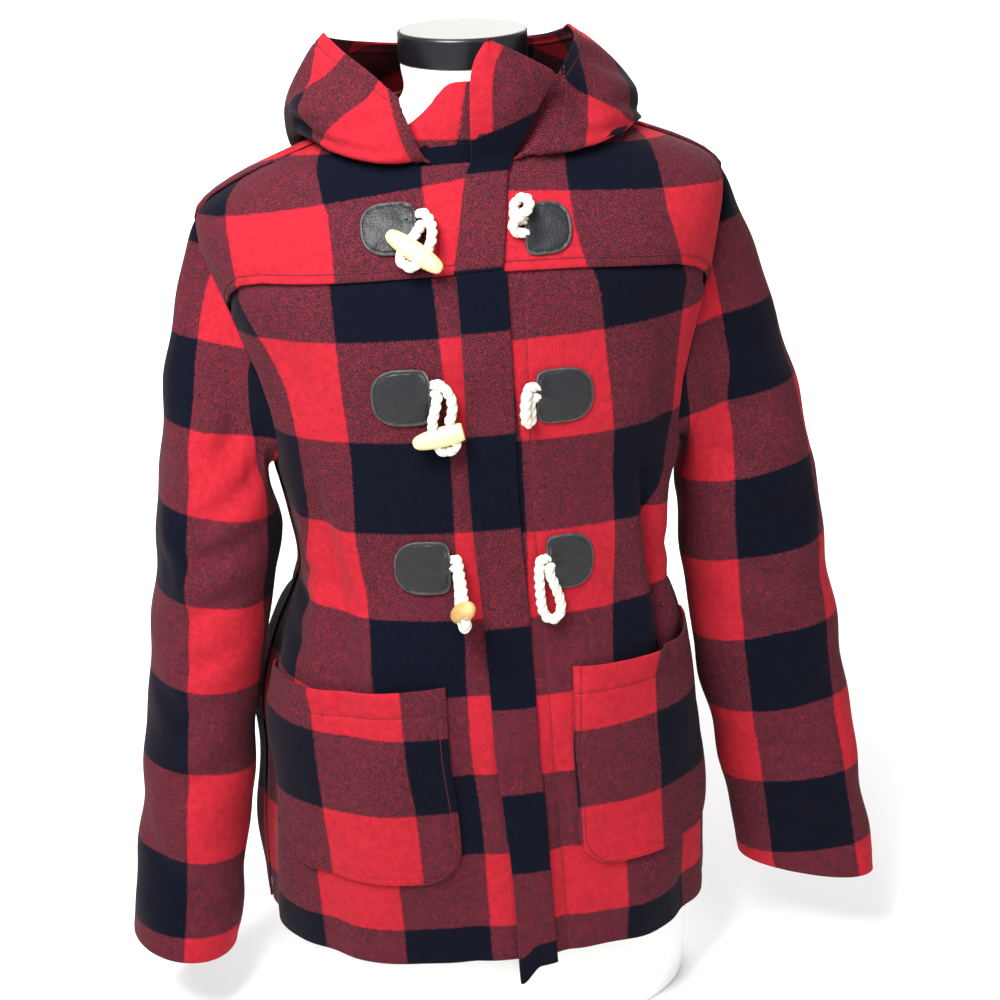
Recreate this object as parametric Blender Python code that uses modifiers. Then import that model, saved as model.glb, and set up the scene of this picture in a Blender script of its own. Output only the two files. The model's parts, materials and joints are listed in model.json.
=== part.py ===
"""Hooded toggle jacket of checked wool, worn by a limbless dress form that stands on its own flat base.

Metres, +Z up, +X to the wearer's left, the front of the jacket facing -Y, the base on Z = 0.
The jacket is built as its sewn pieces: every cloth piece is an open surface worked out from the
body sections below, given its wall by Solidify.
"""

import math

import bmesh
import bpy
import numpy as np
from mathutils import Matrix, Vector

for old in list(bpy.data.objects):
    bpy.data.objects.remove(old, do_unlink=True)

# ---------------------------------------------------------------- sizes (m)
CLOTH = 0.0022            # wall of the wool
GAP = 0.0006              # between two cloths that lie on each other
LAP = CLOTH + GAP         # how far a piece that lies on another stands out
SEAM = 0.0004             # half the gap along a seam
LEATHER = 0.0018
CORD = 0.0066             # rope loops
HEM_Z = 0.088
UNDERARM_Z = 0.488
SHOULDER_Z = 0.704
NECK_BACK_Z = 0.770
CAP_RADIUS = 0.0505
CAP_HEIGHT = 0.0236
TOP_Z = 0.830
TOGGLE_LENGTH = 0.050
TOGGLE_RADIUS = 0.0078

# Outer surface of the jacket: height, half width, front depth, back depth, squareness front, back
JACKET = (
    (0.040, 0.190, 0.141, 0.136, 2.4, 2.4),
    (0.088, 0.188, 0.142, 0.135, 2.4, 2.4),
    (0.160, 0.189, 0.143, 0.133, 2.6, 2.4),
    (0.235, 0.183, 0.142, 0.130, 2.7, 2.4),
    (0.300, 0.178, 0.139, 0.125, 2.7, 2.4),
    (0.345, 0.166, 0.133, 0.118, 2.7, 2.4),
    (0.395, 0.149, 0.126, 0.110, 2.6, 2.4),
    (0.445, 0.155, 0.122, 0.110, 2.6, 2.4),
    (0.500, 0.166, 0.122, 0.116, 2.6, 2.4),
    (0.550, 0.176, 0.122, 0.121, 2.6, 2.4),
    (0.600, 0.187, 0.119, 0.122, 2.6, 2.4),
    (0.640, 0.197, 0.113, 0.118, 2.6, 2.4),
    (0.665, 0.204, 0.107, 0.113, 2.6, 2.4),
    (0.690, 0.209, 0.096, 0.107, 2.5, 2.3),
    (0.704, 0.208, 0.087, 0.102, 2.4, 2.2),
    (0.716, 0.197, 0.078, 0.096, 2.3, 2.1),
    (0.728, 0.175, 0.070, 0.090, 2.2, 2.1),
    (0.741, 0.143, 0.063, 0.083, 2.1, 2.0),
    (0.757, 0.100, 0.057, 0.072, 2.0, 2.0),
    (0.775, 0.060, 0.052, 0.057, 2.0, 2.0),
)
# Outer surface of the dress form, same columns
FORM = (
    (0.000, 0.171, 0.118, 0.112, 2.3, 2.2),
    (0.060, 0.175, 0.122, 0.115, 2.3, 2.2),
    (0.130, 0.176, 0.124, 0.117, 2.3, 2.2),
    (0.210, 0.171, 0.122, 0.115, 2.3, 2.2),
    (0.300, 0.150, 0.113, 0.106, 2.3, 2.2),
    (0.380, 0.131, 0.104, 0.097, 2.3, 2.2),
    (0.450, 0.136, 0.104, 0.100, 2.3, 2.2),
    (0.520, 0.152, 0.108, 0.107, 2.3, 2.2),
    (0.600, 0.173, 0.107, 0.112, 2.3, 2.2),
    (0.650, 0.188, 0.101, 0.109, 2.3, 2.2),
    (0.685, 0.200, 0.088, 0.101, 2.3, 2.2),
    (0.702, 0.200, 0.078, 0.094, 2.3, 2.1),
    (0.714, 0.184, 0.070, 0.088, 2.2, 2.1),
    (0.726, 0.160, 0.062, 0.081, 2.1, 2.0),
    (0.740, 0.126, 0.056, 0.073, 2.0, 2.0),
    (0.757, 0.082, 0.050, 0.061, 2.0, 2.0),
    (0.775, 0.053, 0.048, 0.050, 2.0, 2.0),
    (0.8062, 0.049, 0.049, 0.049, 2.0, 2.0),
)
TILT = 0.034              # the wearer's left shoulder stands this much higher, per metre across
# The jacket hangs a little to one side: height, sideways shift
SWAY = ((0.04, 0.0), (0.16, 0.0), (0.23, -0.001), (0.276, -0.004), (0.33, -0.003), (0.40, 0.001), (0.52, 0.0),
        (0.69, -0.0035), (0.725, -0.003), (0.76, 0.0), (0.83, 0.0))
# Where the middle of the front runs: height, sideways shift (the lower front hangs off to one side)
MIDDLE = ((0.04, 0.027), (0.088, 0.023), (0.172, 0.018), (0.318, 0.013), (0.455, 0.002), (0.65, 0.002),
          (0.80, 0.0))
# Armholes: height, angle round the body in degrees, for each front and for the back. The edges of the panels
# and the head of the sleeve all have their points at these rows.
ARMHOLE_RIGHT = ((0.488, 90), (0.495, 83), (0.505, 76), (0.520, 71), (0.545, 69), (0.572, 70), (0.600, 74),
                 (0.618, 76), (0.634, 78), (0.645, 81), (0.665, 84), (0.687, 86), (0.704, 90))
ARMHOLE_LEFT = ((0.488, 90), (0.495, 80), (0.505, 71), (0.520, 64), (0.545, 62), (0.572, 66), (0.590, 69),
                (0.607, 73), (0.622, 75), (0.645, 77), (0.665, 79), (0.687, 83), (0.704, 90))
ARMHOLE_BACK = ((0.488, 90), (0.495, 97), (0.505, 103), (0.520, 107), (0.545, 109), (0.575, 109), (0.603, 108),
                (0.631, 106), (0.660, 102), (0.687, 97), (0.704, 90))
# Lower edge of each front yoke: angle in degrees, height; the last row is at the armhole
YOKE_RIGHT = ((0, 0.664), (30, 0.663), (50, 0.663), (60, 0.659), (69, 0.649), (78, 0.634))
YOKE_LEFT = ((0, 0.663), (15, 0.660), (30, 0.655), (45, 0.650), (56, 0.643), (66, 0.634), (75, 0.622))
# Neckline of the front: angle in degrees, height
NECKLINE = ((0, 0.740), (16, 0.740), (36, 0.752), (60, 0.764), (90, 0.770))

# Sleeves, down the arm: height, distance out of the middle, distance forward, half width across, half depth,
# turn of the section in degrees
SLEEVE_RIGHT = (
    (0.440, 0.2120, 0.004, 0.0505, 0.062, 0),
    (0.375, 0.2215, 0.006, 0.0485, 0.059, 0),
    (0.300, 0.2340, 0.010, 0.0460, 0.056, 0),
    (0.225, 0.2430, 0.014, 0.0460, 0.053, 0),
    (0.143, 0.2550, 0.018, 0.0450, 0.051, 0),
    (0.072, 0.2650, 0.020, 0.0445, 0.049, 0),
)
SLEEVE_LEFT = (
    (0.440, 0.2270, 0.004, 0.0600, 0.052, 0),
    (0.361, 0.2370, 0.006, 0.0610, 0.048, 8),
    (0.283, 0.2485, 0.010, 0.0620, 0.043, 14),
    (0.225, 0.2590, 0.014, 0.0610, 0.040, 18),
    (0.159, 0.2705, 0.018, 0.0600, 0.037, 22),
    (0.089, 0.2820, 0.020, 0.0610, 0.034, 25),
)
CUFF_TILT = {1: -0.16, -1: 0.10}     # how much higher the outer side of each cuff hangs, per metre across

# Hood lying down, one row for each station of the neckline, in degrees round the neck from the front: height
# where it rests on the body, reach and height of its lowest belly and of its side, then turn, reach and height
# of its free rim
HOOD_RIGHT = (
    (27, 0.7440, 0.0790, 0.744, 0.0810, 0.762, 46, 0.0815, 0.790),
    (42, 0.7500, 0.0960, 0.740, 0.1000, 0.764, 60, 0.0880, 0.806),
    (60, 0.7570, 0.1160, 0.744, 0.1240, 0.774, 76, 0.0980, 0.820),
    (80, 0.7600, 0.1350, 0.752, 0.1370, 0.782, 92, 0.1070, 0.830),
    (105, 0.7540, 0.1420, 0.737, 0.1420, 0.778, 108, 0.1060, 0.822),
    (130, 0.7380, 0.1540, 0.680, 0.1560, 0.755, 130, 0.1010, 0.813),
    (155, 0.7200, 0.1620, 0.628, 0.1680, 0.735, 155, 0.0970, 0.806),
    (180, 0.7150, 0.1640, 0.610, 0.1720, 0.725, 180, 0.0950, 0.804),
)
HOOD_LEFT = (
    (27, 0.7440, 0.0800, 0.744, 0.0830, 0.766, 54, 0.0840, 0.800),
    (42, 0.7500, 0.0980, 0.740, 0.1000, 0.770, 66, 0.0860, 0.813),
    (60, 0.7570, 0.1240, 0.743, 0.1160, 0.778, 80, 0.0880, 0.823),
    (80, 0.7600, 0.1470, 0.749, 0.1300, 0.786, 94, 0.0860, 0.828),
    (105, 0.7540, 0.1500, 0.736, 0.1400, 0.780, 110, 0.0890, 0.821),
    (130, 0.7380, 0.1560, 0.680, 0.1580, 0.755, 130, 0.0930, 0.812),
    (155, 0.7200, 0.1620, 0.628, 0.1680, 0.735, 155, 0.0950, 0.806),
    (180, 0.7150, 0.1640, 0.610, 0.1720, 0.725, 180, 0.0950, 0.804),
)

FLAP_HALF = (0.0215, 0.0145)      # the storm flap's free edge and stitched edge from the middle
# Lapel above the neckline: height, free edge, other edge, how far forward
LAPEL = (
    (0.742, -0.0035, 0.0270, 0.0685),
    (0.760, -0.0045, 0.0370, 0.0740),
    (0.785, -0.0050, 0.0500, 0.0770),
    (0.805, -0.0040, 0.0600, 0.0775),
    (0.814, -0.0025, 0.0520, 0.0770),
    (0.823, 0.0010, 0.0360, 0.0765),
    (0.833, 0.0080, 0.0130, 0.0760),
)
# The neck guard, under the lapel: turn in degrees, height and reach of its top edge
GUARD = ((3, 0.799, 0.0635), (-8, 0.800, 0.0625), (-20, 0.797, 0.0620), (-31, 0.784, 0.0610),
         (-42, 0.772, 0.0610))

# Pockets: the two upright edges by tape from the body's middle, at the foot and at the mouth, the two heights,
# and how far the mouth's outer end drops
POCKET_RIGHT = (0.038, 0.044, 0.200, 0.238, 0.1670, 0.335, 0.014)
POCKET_LEFT = (0.058, 0.060, 0.208, 0.224, 0.1680, 0.342, 0.0)
POCKET_CORNER = 0.032
# Leather patches: tape from the middle of the body, height of the centre, width, height
PATCHES = {
    "patch_right_top": (-0.0685, 0.6985, 0.0425, 0.0420), "patch_right_middle": (-0.0695, 0.5735, 0.0455, 0.0445),
    "patch_right_bottom": (-0.0609, 0.4325, 0.0443, 0.0440), "patch_left_top": (0.0522, 0.6900, 0.0370, 0.0410),
    "patch_left_middle": (0.0565, 0.5660, 0.0463, 0.0430), "patch_left_bottom": (0.0560, 0.4300, 0.0393, 0.0450),
}
# Toggles: tape and height of the middle of the holes, how far out, lean in the cloth's plane, how far the nose
# points out, and length from the holes to the right-hand end
TOGGLES = {
    "toggle_top": (-0.0510, 0.6810, 0.0115, -40, 3, 0.0250),
    "toggle_middle": (-0.0387, 0.5448, 0.0112, 13, 3, 0.0146),
    "toggle_bottom": (-0.0316, 0.4030, 0.0262, 68, 63, 0.0250),
}
HOLE_APART = 0.0069       # each toggle hole from the middle
# Rope of each toggle, from its patch to the toggle and back again: tape, height, distance out of the cloth
TOGGLE_ROPES = {
    "toggle_top": (((-0.0433, 0.6990, 0.0044), (-0.0456, 0.6960, 0.0080)),
                   ((-0.0366, 0.6930, 0.0105), (-0.0372, 0.7000, 0.0075), (-0.0425, 0.7066, 0.0044))),
    "toggle_middle": (((-0.0424, 0.5765, 0.0044), (-0.0435, 0.5690, 0.0080)),
                      ((-0.0318, 0.5630, 0.0092), (-0.0325, 0.5740, 0.0068), (-0.0424, 0.5840, 0.0044))),
    "toggle_bottom": (((-0.0348, 0.4325, 0.0044), (-0.0338, 0.4250, 0.0070), (-0.0333, 0.4170, 0.0120)),
                      ((-0.0318, 0.4225, 0.0215), (-0.0330, 0.4320, 0.0125), (-0.0348, 0.4402, 0.0050))),
}
# Free rope loops of the other side, all the way round, same columns
LOOPS = {
    "loop_top": ((0.0328, 0.6880, 0.0042), (0.0290, 0.6880, 0.0046), (0.0252, 0.6900, 0.0070),
                 (0.0252, 0.6945, 0.0102), (0.0302, 0.6972, 0.0122), (0.0358, 0.7000, 0.0132),
                 (0.0380, 0.7046, 0.0120), (0.0348, 0.7088, 0.0095), (0.0292, 0.7078, 0.0064),
                 (0.0270, 0.7020, 0.0044), (0.0286, 0.6968, 0.0042), (0.0328, 0.6960, 0.0042)),
    "loop_middle": ((0.0322, 0.5755, 0.0042), (0.0280, 0.5750, 0.0062), (0.0246, 0.5695, 0.0098),
                    (0.0233, 0.5610, 0.0108), (0.0233, 0.5530, 0.0098), (0.0252, 0.5480, 0.0072),
                    (0.0280, 0.5490, 0.0048), (0.0288, 0.5560, 0.0042), (0.0287, 0.5630, 0.0042),
                    (0.0300, 0.5668, 0.0042), (0.0322, 0.5672, 0.0042)),
    "loop_bottom": ((0.0352, 0.4350, 0.0043), (0.0313, 0.4336, 0.0054), (0.0296, 0.4265, 0.0064),
                    (0.0297, 0.4150, 0.0060), (0.0306, 0.4030, 0.0052), (0.0326, 0.3925, 0.0046),
                    (0.0370, 0.3856, 0.0043), (0.0428, 0.3849, 0.0043), (0.0466, 0.3902, 0.0044),
                    (0.0462, 0.3985, 0.0050), (0.0432, 0.4075, 0.0068), (0.0400, 0.4160, 0.0074),
                    (0.0376, 0.4225, 0.0072), (0.0372, 0.4270, 0.0070)),
}


# ---------------------------------------------------------------- curves and the body surface
def curve_through(table, x):
    """Smooth curve through a table's rows: the first column goes in, the others come out."""
    t = np.asarray(table, float)
    x = np.asarray(x, float)
    k, v = t[:, 0], t[:, 1:]
    d = np.gradient(v, k, axis=0)
    i = np.clip(np.searchsorted(k, x) - 1, 0, len(k) - 2)
    h = (k[i + 1] - k[i])[..., None]
    s = np.clip((x - k[i]) / (k[i + 1] - k[i]), 0, 1)[..., None]
    start = (2 * s**3 - 3 * s**2 + 1) * v[i] + (s**3 - 2 * s**2 + s) * h * d[i]
    return start + (-2 * s**3 + 3 * s**2) * v[i + 1] + (s**3 - s**2) * h * d[i + 1]


def line_through(table, x):
    t = np.asarray(table, float)
    return np.interp(x, t[:, 0], t[:, 1])


def smooth(low, high, x):
    s = np.clip((np.asarray(x, float) - low) / (high - low), 0, 1)
    return s * s * (3 - 2 * s)


def tilt(x, z):
    return TILT * x * smooth(0.45, 0.70, z) * smooth(0.785, 0.755, z)


def ring(angle, z, table=JACKET):
    """Point of the outer surface; angle 0 is the middle of the front, positive towards +X."""
    w, front, back, n_front, n_back = np.moveaxis(curve_through(table, z), -1, 0)
    s, c = np.sin(angle), np.cos(angle)
    n = n_back + (n_front - n_back) * smooth(-0.35, 0.35, c)
    x = w * np.sign(s) * np.abs(s) ** (2 / n)
    y = -np.where(c > 0, front, back) * np.sign(c) * np.abs(c) ** (2 / n)
    sway = curve_through(SWAY, z)[..., 0]
    return np.stack([x + sway, y, z + tilt(x, z)], -1)


ANGLES = np.linspace(-math.pi, math.pi, 361)
LEVELS = np.linspace(0.04, 0.775, 148)


def arc_lengths():
    p = ring(ANGLES[None, :], LEVELS[:, None])
    s = np.cumsum(np.linalg.norm(np.diff(p, axis=1), axis=-1), 1)
    s = np.concatenate([np.zeros((len(LEVELS), 1)), s], 1)
    return s - s[:, 180:181]


ARCS = arc_lengths()


def level_arcs(z):
    f = min(max((z - LEVELS[0]) / (LEVELS[1] - LEVELS[0]), 0), len(LEVELS) - 1.001)
    k = int(f)
    return ARCS[k] + (f - k) * (ARCS[k + 1] - ARCS[k])


def angle_at(u, z):
    """Angle that a tape laid round the body at height z reaches after u metres from the middle."""
    u, z = np.broadcast_arrays(np.asarray(u, float), np.asarray(z, float))
    angles = [np.interp(a, level_arcs(b), ANGLES) for a, b in zip(u.ravel(), z.ravel())]
    return np.array(angles).reshape(u.shape)


def tape_at(angle, z):
    angle, z = np.broadcast_arrays(np.asarray(angle, float), np.asarray(z, float))
    tapes = [np.interp(a, ANGLES, level_arcs(b)) for a, b in zip(angle.ravel(), z.ravel())]
    return np.array(tapes).reshape(angle.shape)


def middle(z):
    return curve_through(MIDDLE, z)[..., 0]


def outward(angle, z):
    """Unit normal of the body surface."""
    e = 1e-3
    across = ring(angle + e, z) - ring(angle - e, z)
    up = ring(angle, z + e) - ring(angle, z - e)
    n = np.cross(across, up)
    return n / np.linalg.norm(n, axis=-1, keepdims=True)


def on_body(u, z, out=0.0):
    """Point u metres round from the middle of the front at height z, moved out of the cloth by out."""
    z = np.asarray(z, float)
    a = angle_at(u, z)
    return ring(a, z) + outward(a, z) * np.asarray(out, float)[..., None]


def off_body(points, gap):
    """Points pushed out to at least gap in front of the body surface."""
    p = np.array(points, float)

    def level(q):
        z = q[:, 2] - tilt(q[:, 0], q[:, 2])
        w, front, back, n_front, n_back = np.moveaxis(curve_through(JACKET, z), -1, 0)
        x, y = q[:, 0] - curve_through(SWAY, z)[:, 0], q[:, 1]
        n = np.where(y < 0, n_front, n_back)
        return (np.abs(x / w) ** n + np.abs(y / np.where(y < 0, front, back)) ** n) ** (1 / n) - 1

    for _ in range(4):
        f = level(p)
        slope = np.stack([(level(p + h) - level(p - h)) / 2e-4 for h in np.eye(3) * 1e-4], 1)
        size = np.linalg.norm(slope, axis=1, keepdims=True)
        short = np.clip(gap - f[:, None] / size, 0, 0.02)
        p += slope / size * np.where(p[:, 2:] < 0.775, short, 0)
    return p


# ---------------------------------------------------------------- objects
collection = bpy.data.collections.new("hooded_toggle_jacket")
bpy.context.scene.collection.children.link(collection)


def principled(name, colour, roughness, metallic=0.0):
    m = bpy.data.materials.new(name)
    m.use_nodes = True
    bsdf = m.node_tree.nodes["Principled BSDF"]
    bsdf.inputs["Base Color"].default_value = (*colour, 1.0)
    bsdf.inputs["Roughness"].default_value = roughness
    bsdf.inputs["Metallic"].default_value = metallic
    return m


RED = principled("red check wool", (0.42, 0.012, 0.018), 0.95)
DARK = principled("dark check wool", (0.012, 0.014, 0.026), 0.95)
WINE = principled("wine check wool", (0.12, 0.012, 0.02), 0.95)
HIDE = principled("brown leather", (0.028, 0.024, 0.024), 0.5)
ROPE = principled("cotton rope", (0.80, 0.77, 0.68), 0.9)
WOOD = principled("pale wood", (0.75, 0.50, 0.20), 0.45)
JERSEY = principled("form fabric", (0.82, 0.82, 0.82), 0.85)
PLASTIC = principled("black cap", (0.01, 0.011, 0.014), 0.35)


def add(name, mesh, material):
    mesh.materials.clear()
    mesh.materials.append(material)
    obj = bpy.data.objects.new(name, mesh)
    collection.objects.link(obj)
    mesh.shade_smooth()
    mesh.set_sharp_from_angle(angle=math.radians(50))
    return obj


def surface(name, points, round_=False, flip=False):
    """Mesh of a grid of points, rows by columns; round_ joins the last column to the first."""
    rows, cols = points.shape[:2]
    last = cols if round_ else cols - 1
    faces = []
    for r in range(rows - 1):
        for c in range(last):
            d = (c + 1) % cols
            f = (r * cols + c, r * cols + d, (r + 1) * cols + d, (r + 1) * cols + c)
            faces.append(f[::-1] if flip else f)
    mesh = bpy.data.meshes.new(name)
    mesh.from_pydata([tuple(map(float, p)) for p in points.reshape(-1, 3)], [], faces)
    return mesh


def cloth(name, points, material, round_=False, flip=False, wall=CLOTH):
    """Cloth piece: the surface is its outer face, and the wall lies behind it."""
    obj = add(name, surface(name, points, round_, flip), material)
    solid = obj.modifiers.new("wall", "SOLIDIFY")
    solid.thickness = wall
    solid.offset = -1
    return obj


def through(points, n):
    """n points along a smooth curve through the given ones, evenly spaced."""
    p = np.asarray(points, float)
    k = np.concatenate([[0], np.cumsum(np.linalg.norm(np.diff(p, axis=0), axis=1))])
    table = np.concatenate([k[:, None], p], 1)
    fine = curve_through(table, np.linspace(0, k[-1], 400))
    s = np.concatenate([[0], np.cumsum(np.linalg.norm(np.diff(fine, axis=0), axis=1))])
    at = np.linspace(0, s[-1], n)
    return np.stack([np.interp(at, s, fine[:, i]) for i in range(p.shape[1])], 1)


# ---------------------------------------------------------------- dress form and neck cap
def turned_rings(table, levels, columns):
    a = np.linspace(0, 2 * math.pi, columns, endpoint=False)
    return ring(a[None, :], np.asarray(levels)[:, None], table)


def dress_form():
    shoulders = (0.685, 0.702, 0.716, 0.730, 0.745, 0.760, 0.776, 0.8060)
    levels = np.concatenate([np.linspace(0, 0.66, 11), shoulders])
    mesh = surface("dress_form", turned_rings(FORM, levels, 34), round_=True)
    bm = bmesh.new()
    bm.from_mesh(mesh)
    bmesh.ops.holes_fill(bm, edges=[e for e in bm.edges if e.is_boundary])
    bmesh.ops.recalc_face_normals(bm, faces=bm.faces)
    for v in bm.verts:
        if v.co.z < 1e-6:
            v.co.z = 0.0
    bm.to_mesh(mesh)
    bm.free()
    return add("dress_form", mesh, JERSEY)


def neck_cap():
    foot = TOP_Z - CAP_HEIGHT
    profile = ((0.0, TOP_Z), (0.0445, TOP_Z), (0.0488, TOP_Z - 0.0006), (CAP_RADIUS, TOP_Z - 0.003),
               (CAP_RADIUS, foot + 0.0015), (CAP_RADIUS - 0.0015, foot), (0.0, foot))
    mesh = bpy.data.meshes.new("neck_cap")
    mesh.from_pydata([(x, 0, z) for x, z in profile], [(i, i + 1) for i in range(len(profile) - 1)], [])
    obj = add("neck_cap", mesh, PLASTIC)
    screw = obj.modifiers.new("turn", "SCREW")
    screw.steps = screw.render_steps = 32
    screw.use_merge_vertices = True
    screw.merge_threshold = 0.00005
    screw.use_normal_calculate = True
    return obj


# ---------------------------------------------------------------- body panels
def yoke_edge(side, angle):
    return line_through(YOKE_LEFT if side > 0 else YOKE_RIGHT, np.degrees(np.abs(angle)))


def armhole(side, z):
    return np.radians(line_through(ARMHOLE_LEFT if side > 0 else ARMHOLE_RIGHT, z))


def front_panel(side, cols=12):
    """From the hem to just above the yoke's edge, where it runs in behind the yoke."""
    table = YOKE_LEFT if side > 0 else YOKE_RIGHT
    corner = table[-1][1]
    arm = [z for z, _ in (ARMHOLE_LEFT if side > 0 else ARMHOLE_RIGHT) if UNDERARM_Z < z < corner - 0.001]
    heights = [*np.linspace(HEM_Z, UNDERARM_Z, 13), *arm, corner - 0.006, corner, corner + 0.008]
    q = np.linspace(0, 1, cols)
    grid = []
    for height in heights:
        a_edge = float(armhole(side, height)) if height > UNDERARM_Z else math.pi / 2
        reach = float(tape_at(a_edge, height)) - SEAM
        reach -= 0.004 * float(smooth(corner - 0.004, corner + 0.006, height))
        u = q * (reach - side * float(middle(height)) - SEAM) + side * float(middle(height)) + SEAM
        a = angle_at(side * u, height)
        lift = smooth(0.46, corner, height) * (yoke_edge(side, a) - corner)
        z = height + lift
        tuck = (LAP + 0.0006) * smooth(-0.010, -0.002, z - yoke_edge(side, a))
        grid.append(ring(a, z) - outward(a, z) * tuck[:, None])
    name = "front_left" if side > 0 else "front_right"
    return cloth(name, np.array(grid), RED if side > 0 else DARK, flip=side < 0)


def yoke_panel(side, rows=8):
    table = YOKE_LEFT if side > 0 else YOKE_RIGHT
    arm = np.array(ARMHOLE_LEFT if side > 0 else ARMHOLE_RIGHT, float)
    corner = table[-1][0]
    arm = arm[arm[:, 0] >= table[-1][1] - 1e-6]
    degrees = np.concatenate([np.linspace(0, corner, 9), arm[1:, 1]])
    columns = []
    for d in degrees:
        a = math.radians(d)
        low = line_through(table, d) if d <= corner else float(np.interp(d, arm[:, 1], arm[:, 0]))
        low += 0.0007 if d > corner else 0.0
        z = low + np.linspace(0, 1, rows) * (line_through(NECKLINE, d) - low)
        u = tape_at(a, z)
        u = np.minimum(np.maximum(u, side * middle(z) + SEAM), tape_at(math.pi / 2, z) - SEAM)
        columns.append(on_body(side * u, z))
    points = np.array(columns).transpose(1, 0, 2)
    return cloth("yoke_left" if side > 0 else "yoke_right", points, RED, flip=side < 0)


def back_panel(cols=17):
    e = np.concatenate([np.linspace(HEM_Z, UNDERARM_Z, 11), [z for z, _ in ARMHOLE_BACK[1:]],
                        np.linspace(SHOULDER_Z, NECK_BACK_Z, 6)[1:]])
    out = []
    for z in e:
        a = math.radians(line_through(ARMHOLE_BACK, z)) if UNDERARM_Z < z < SHOULDER_Z else math.pi / 2
        half = float(tape_at(math.pi, z))
        reach = half - float(tape_at(a, z)) - SEAM
        u = half - reach * np.linspace(1, -1, cols)
        u = np.where(u > half, u - 2 * half, u)
        out.append(on_body(u, z))
    return cloth("back", np.array(out), WINE)


# ---------------------------------------------------------------- sleeves
def armhole_loop(side):
    """The armhole seam, from the shoulder down the front and up the back, a little inside the hole."""
    front = [(z, math.radians(a)) for z, a in (ARMHOLE_LEFT if side > 0 else ARMHOLE_RIGHT)[::-1]]
    back = [(z, math.radians(a)) for z, a in ARMHOLE_BACK[1:-1]]
    loop = np.array([ring(side * a, z) + outward(side * a, z) * 4 * SEAM for z, a in front + back])
    inward = loop.mean(0) - loop
    inward /= np.linalg.norm(inward, axis=1, keepdims=True)
    return loop + inward * 4 * SEAM, inward


def sleeve_sections(side, heights, phi):
    table = np.array(SLEEVE_LEFT if side > 0 else SLEEVE_RIGHT, float)[::-1]
    rows = []
    for z in heights:
        x, fwd, a, b, turn = curve_through(table, z)
        x0, f0 = curve_through(table, z - 0.01)[:2]
        x1, f1 = curve_through(table, z + 0.01)[:2]
        d = np.array([side * (x0 - x1), -(f0 - f1), -0.02])
        d /= np.linalg.norm(d)
        e2 = np.array([0, -1.0, 0]) - d * -d[1]
        e2 /= np.linalg.norm(e2)
        e1 = np.cross(e2, d) * side
        t = math.radians(turn)
        c, s = a * np.cos(phi), b * np.sin(phi)
        row = (np.array([side * x, -fwd, z]) + np.outer(c * math.cos(t) - s * math.sin(t), e1)
               + np.outer(c * math.sin(t) + s * math.cos(t), e2))
        row[:, 2] += CUFF_TILT[side] * (side * row[:, 0] - x) * smooth(0.30, 0.08, z)
        rows.append(off_body(row, 0.0012 + LAP))
    return rows


def sleeve(side, head_rows=7, rows=11):
    loop, inward = armhole_loop(side)
    phi = np.linspace(0, 2 * math.pi, len(loop), endpoint=False)
    table = SLEEVE_LEFT if side > 0 else SLEEVE_RIGHT
    first = sleeve_sections(side, [table[0][0]], phi)[0]
    second = sleeve_sections(side, [table[0][0] - 0.01], phi)[0]
    down = (second - first) / np.linalg.norm(second - first, axis=1, keepdims=True)
    over = (1 + np.cos(phi[:, None])) / 2
    leave = inward * 0.35 + np.array([side * 1.0, 0, 0]) * (0.50 + 0.1 * over)
    leave = leave + np.array([0, 0, -1.0]) * (0.25 + 0.45 * over)
    leave /= np.linalg.norm(leave, axis=1, keepdims=True)
    reach = np.linalg.norm(first - loop, axis=1)[:, None]
    grid = []
    for t in np.linspace(0, 1, head_rows, endpoint=False):
        row = ((2 * t**3 - 3 * t**2 + 1) * loop + (t**3 - 2 * t**2 + t) * leave * reach * 0.8
               + (-2 * t**3 + 3 * t**2) * first + (t**3 - t**2) * down * reach * 1.1)
        grid.append(off_body(row, min(0.03 * t, 0.0012 + LAP)) if t > 0 else row)
    grid += sleeve_sections(side, np.linspace(table[0][0], table[-1][0], rows), phi)
    name = "sleeve_left" if side > 0 else "sleeve_right"
    return cloth(name, np.array(grid), DARK if side > 0 else RED, round_=True, flip=side < 0)


# ---------------------------------------------------------------- hood, flap and guard
def polar(degrees, reach, z):
    a = math.radians(degrees)
    return np.array([reach * math.sin(a), -reach * math.cos(a), z])


def neck_ring(degrees, z):
    """Point of the body surface that lies the given degrees round the neck from the front."""
    w, front, back = curve_through(JACKET, z)[:3]
    a = math.radians(degrees)
    depth = front if math.cos(a) > 0 else back
    return ring(math.atan2(math.sin(a) * depth, math.cos(a) * w), z)


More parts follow.
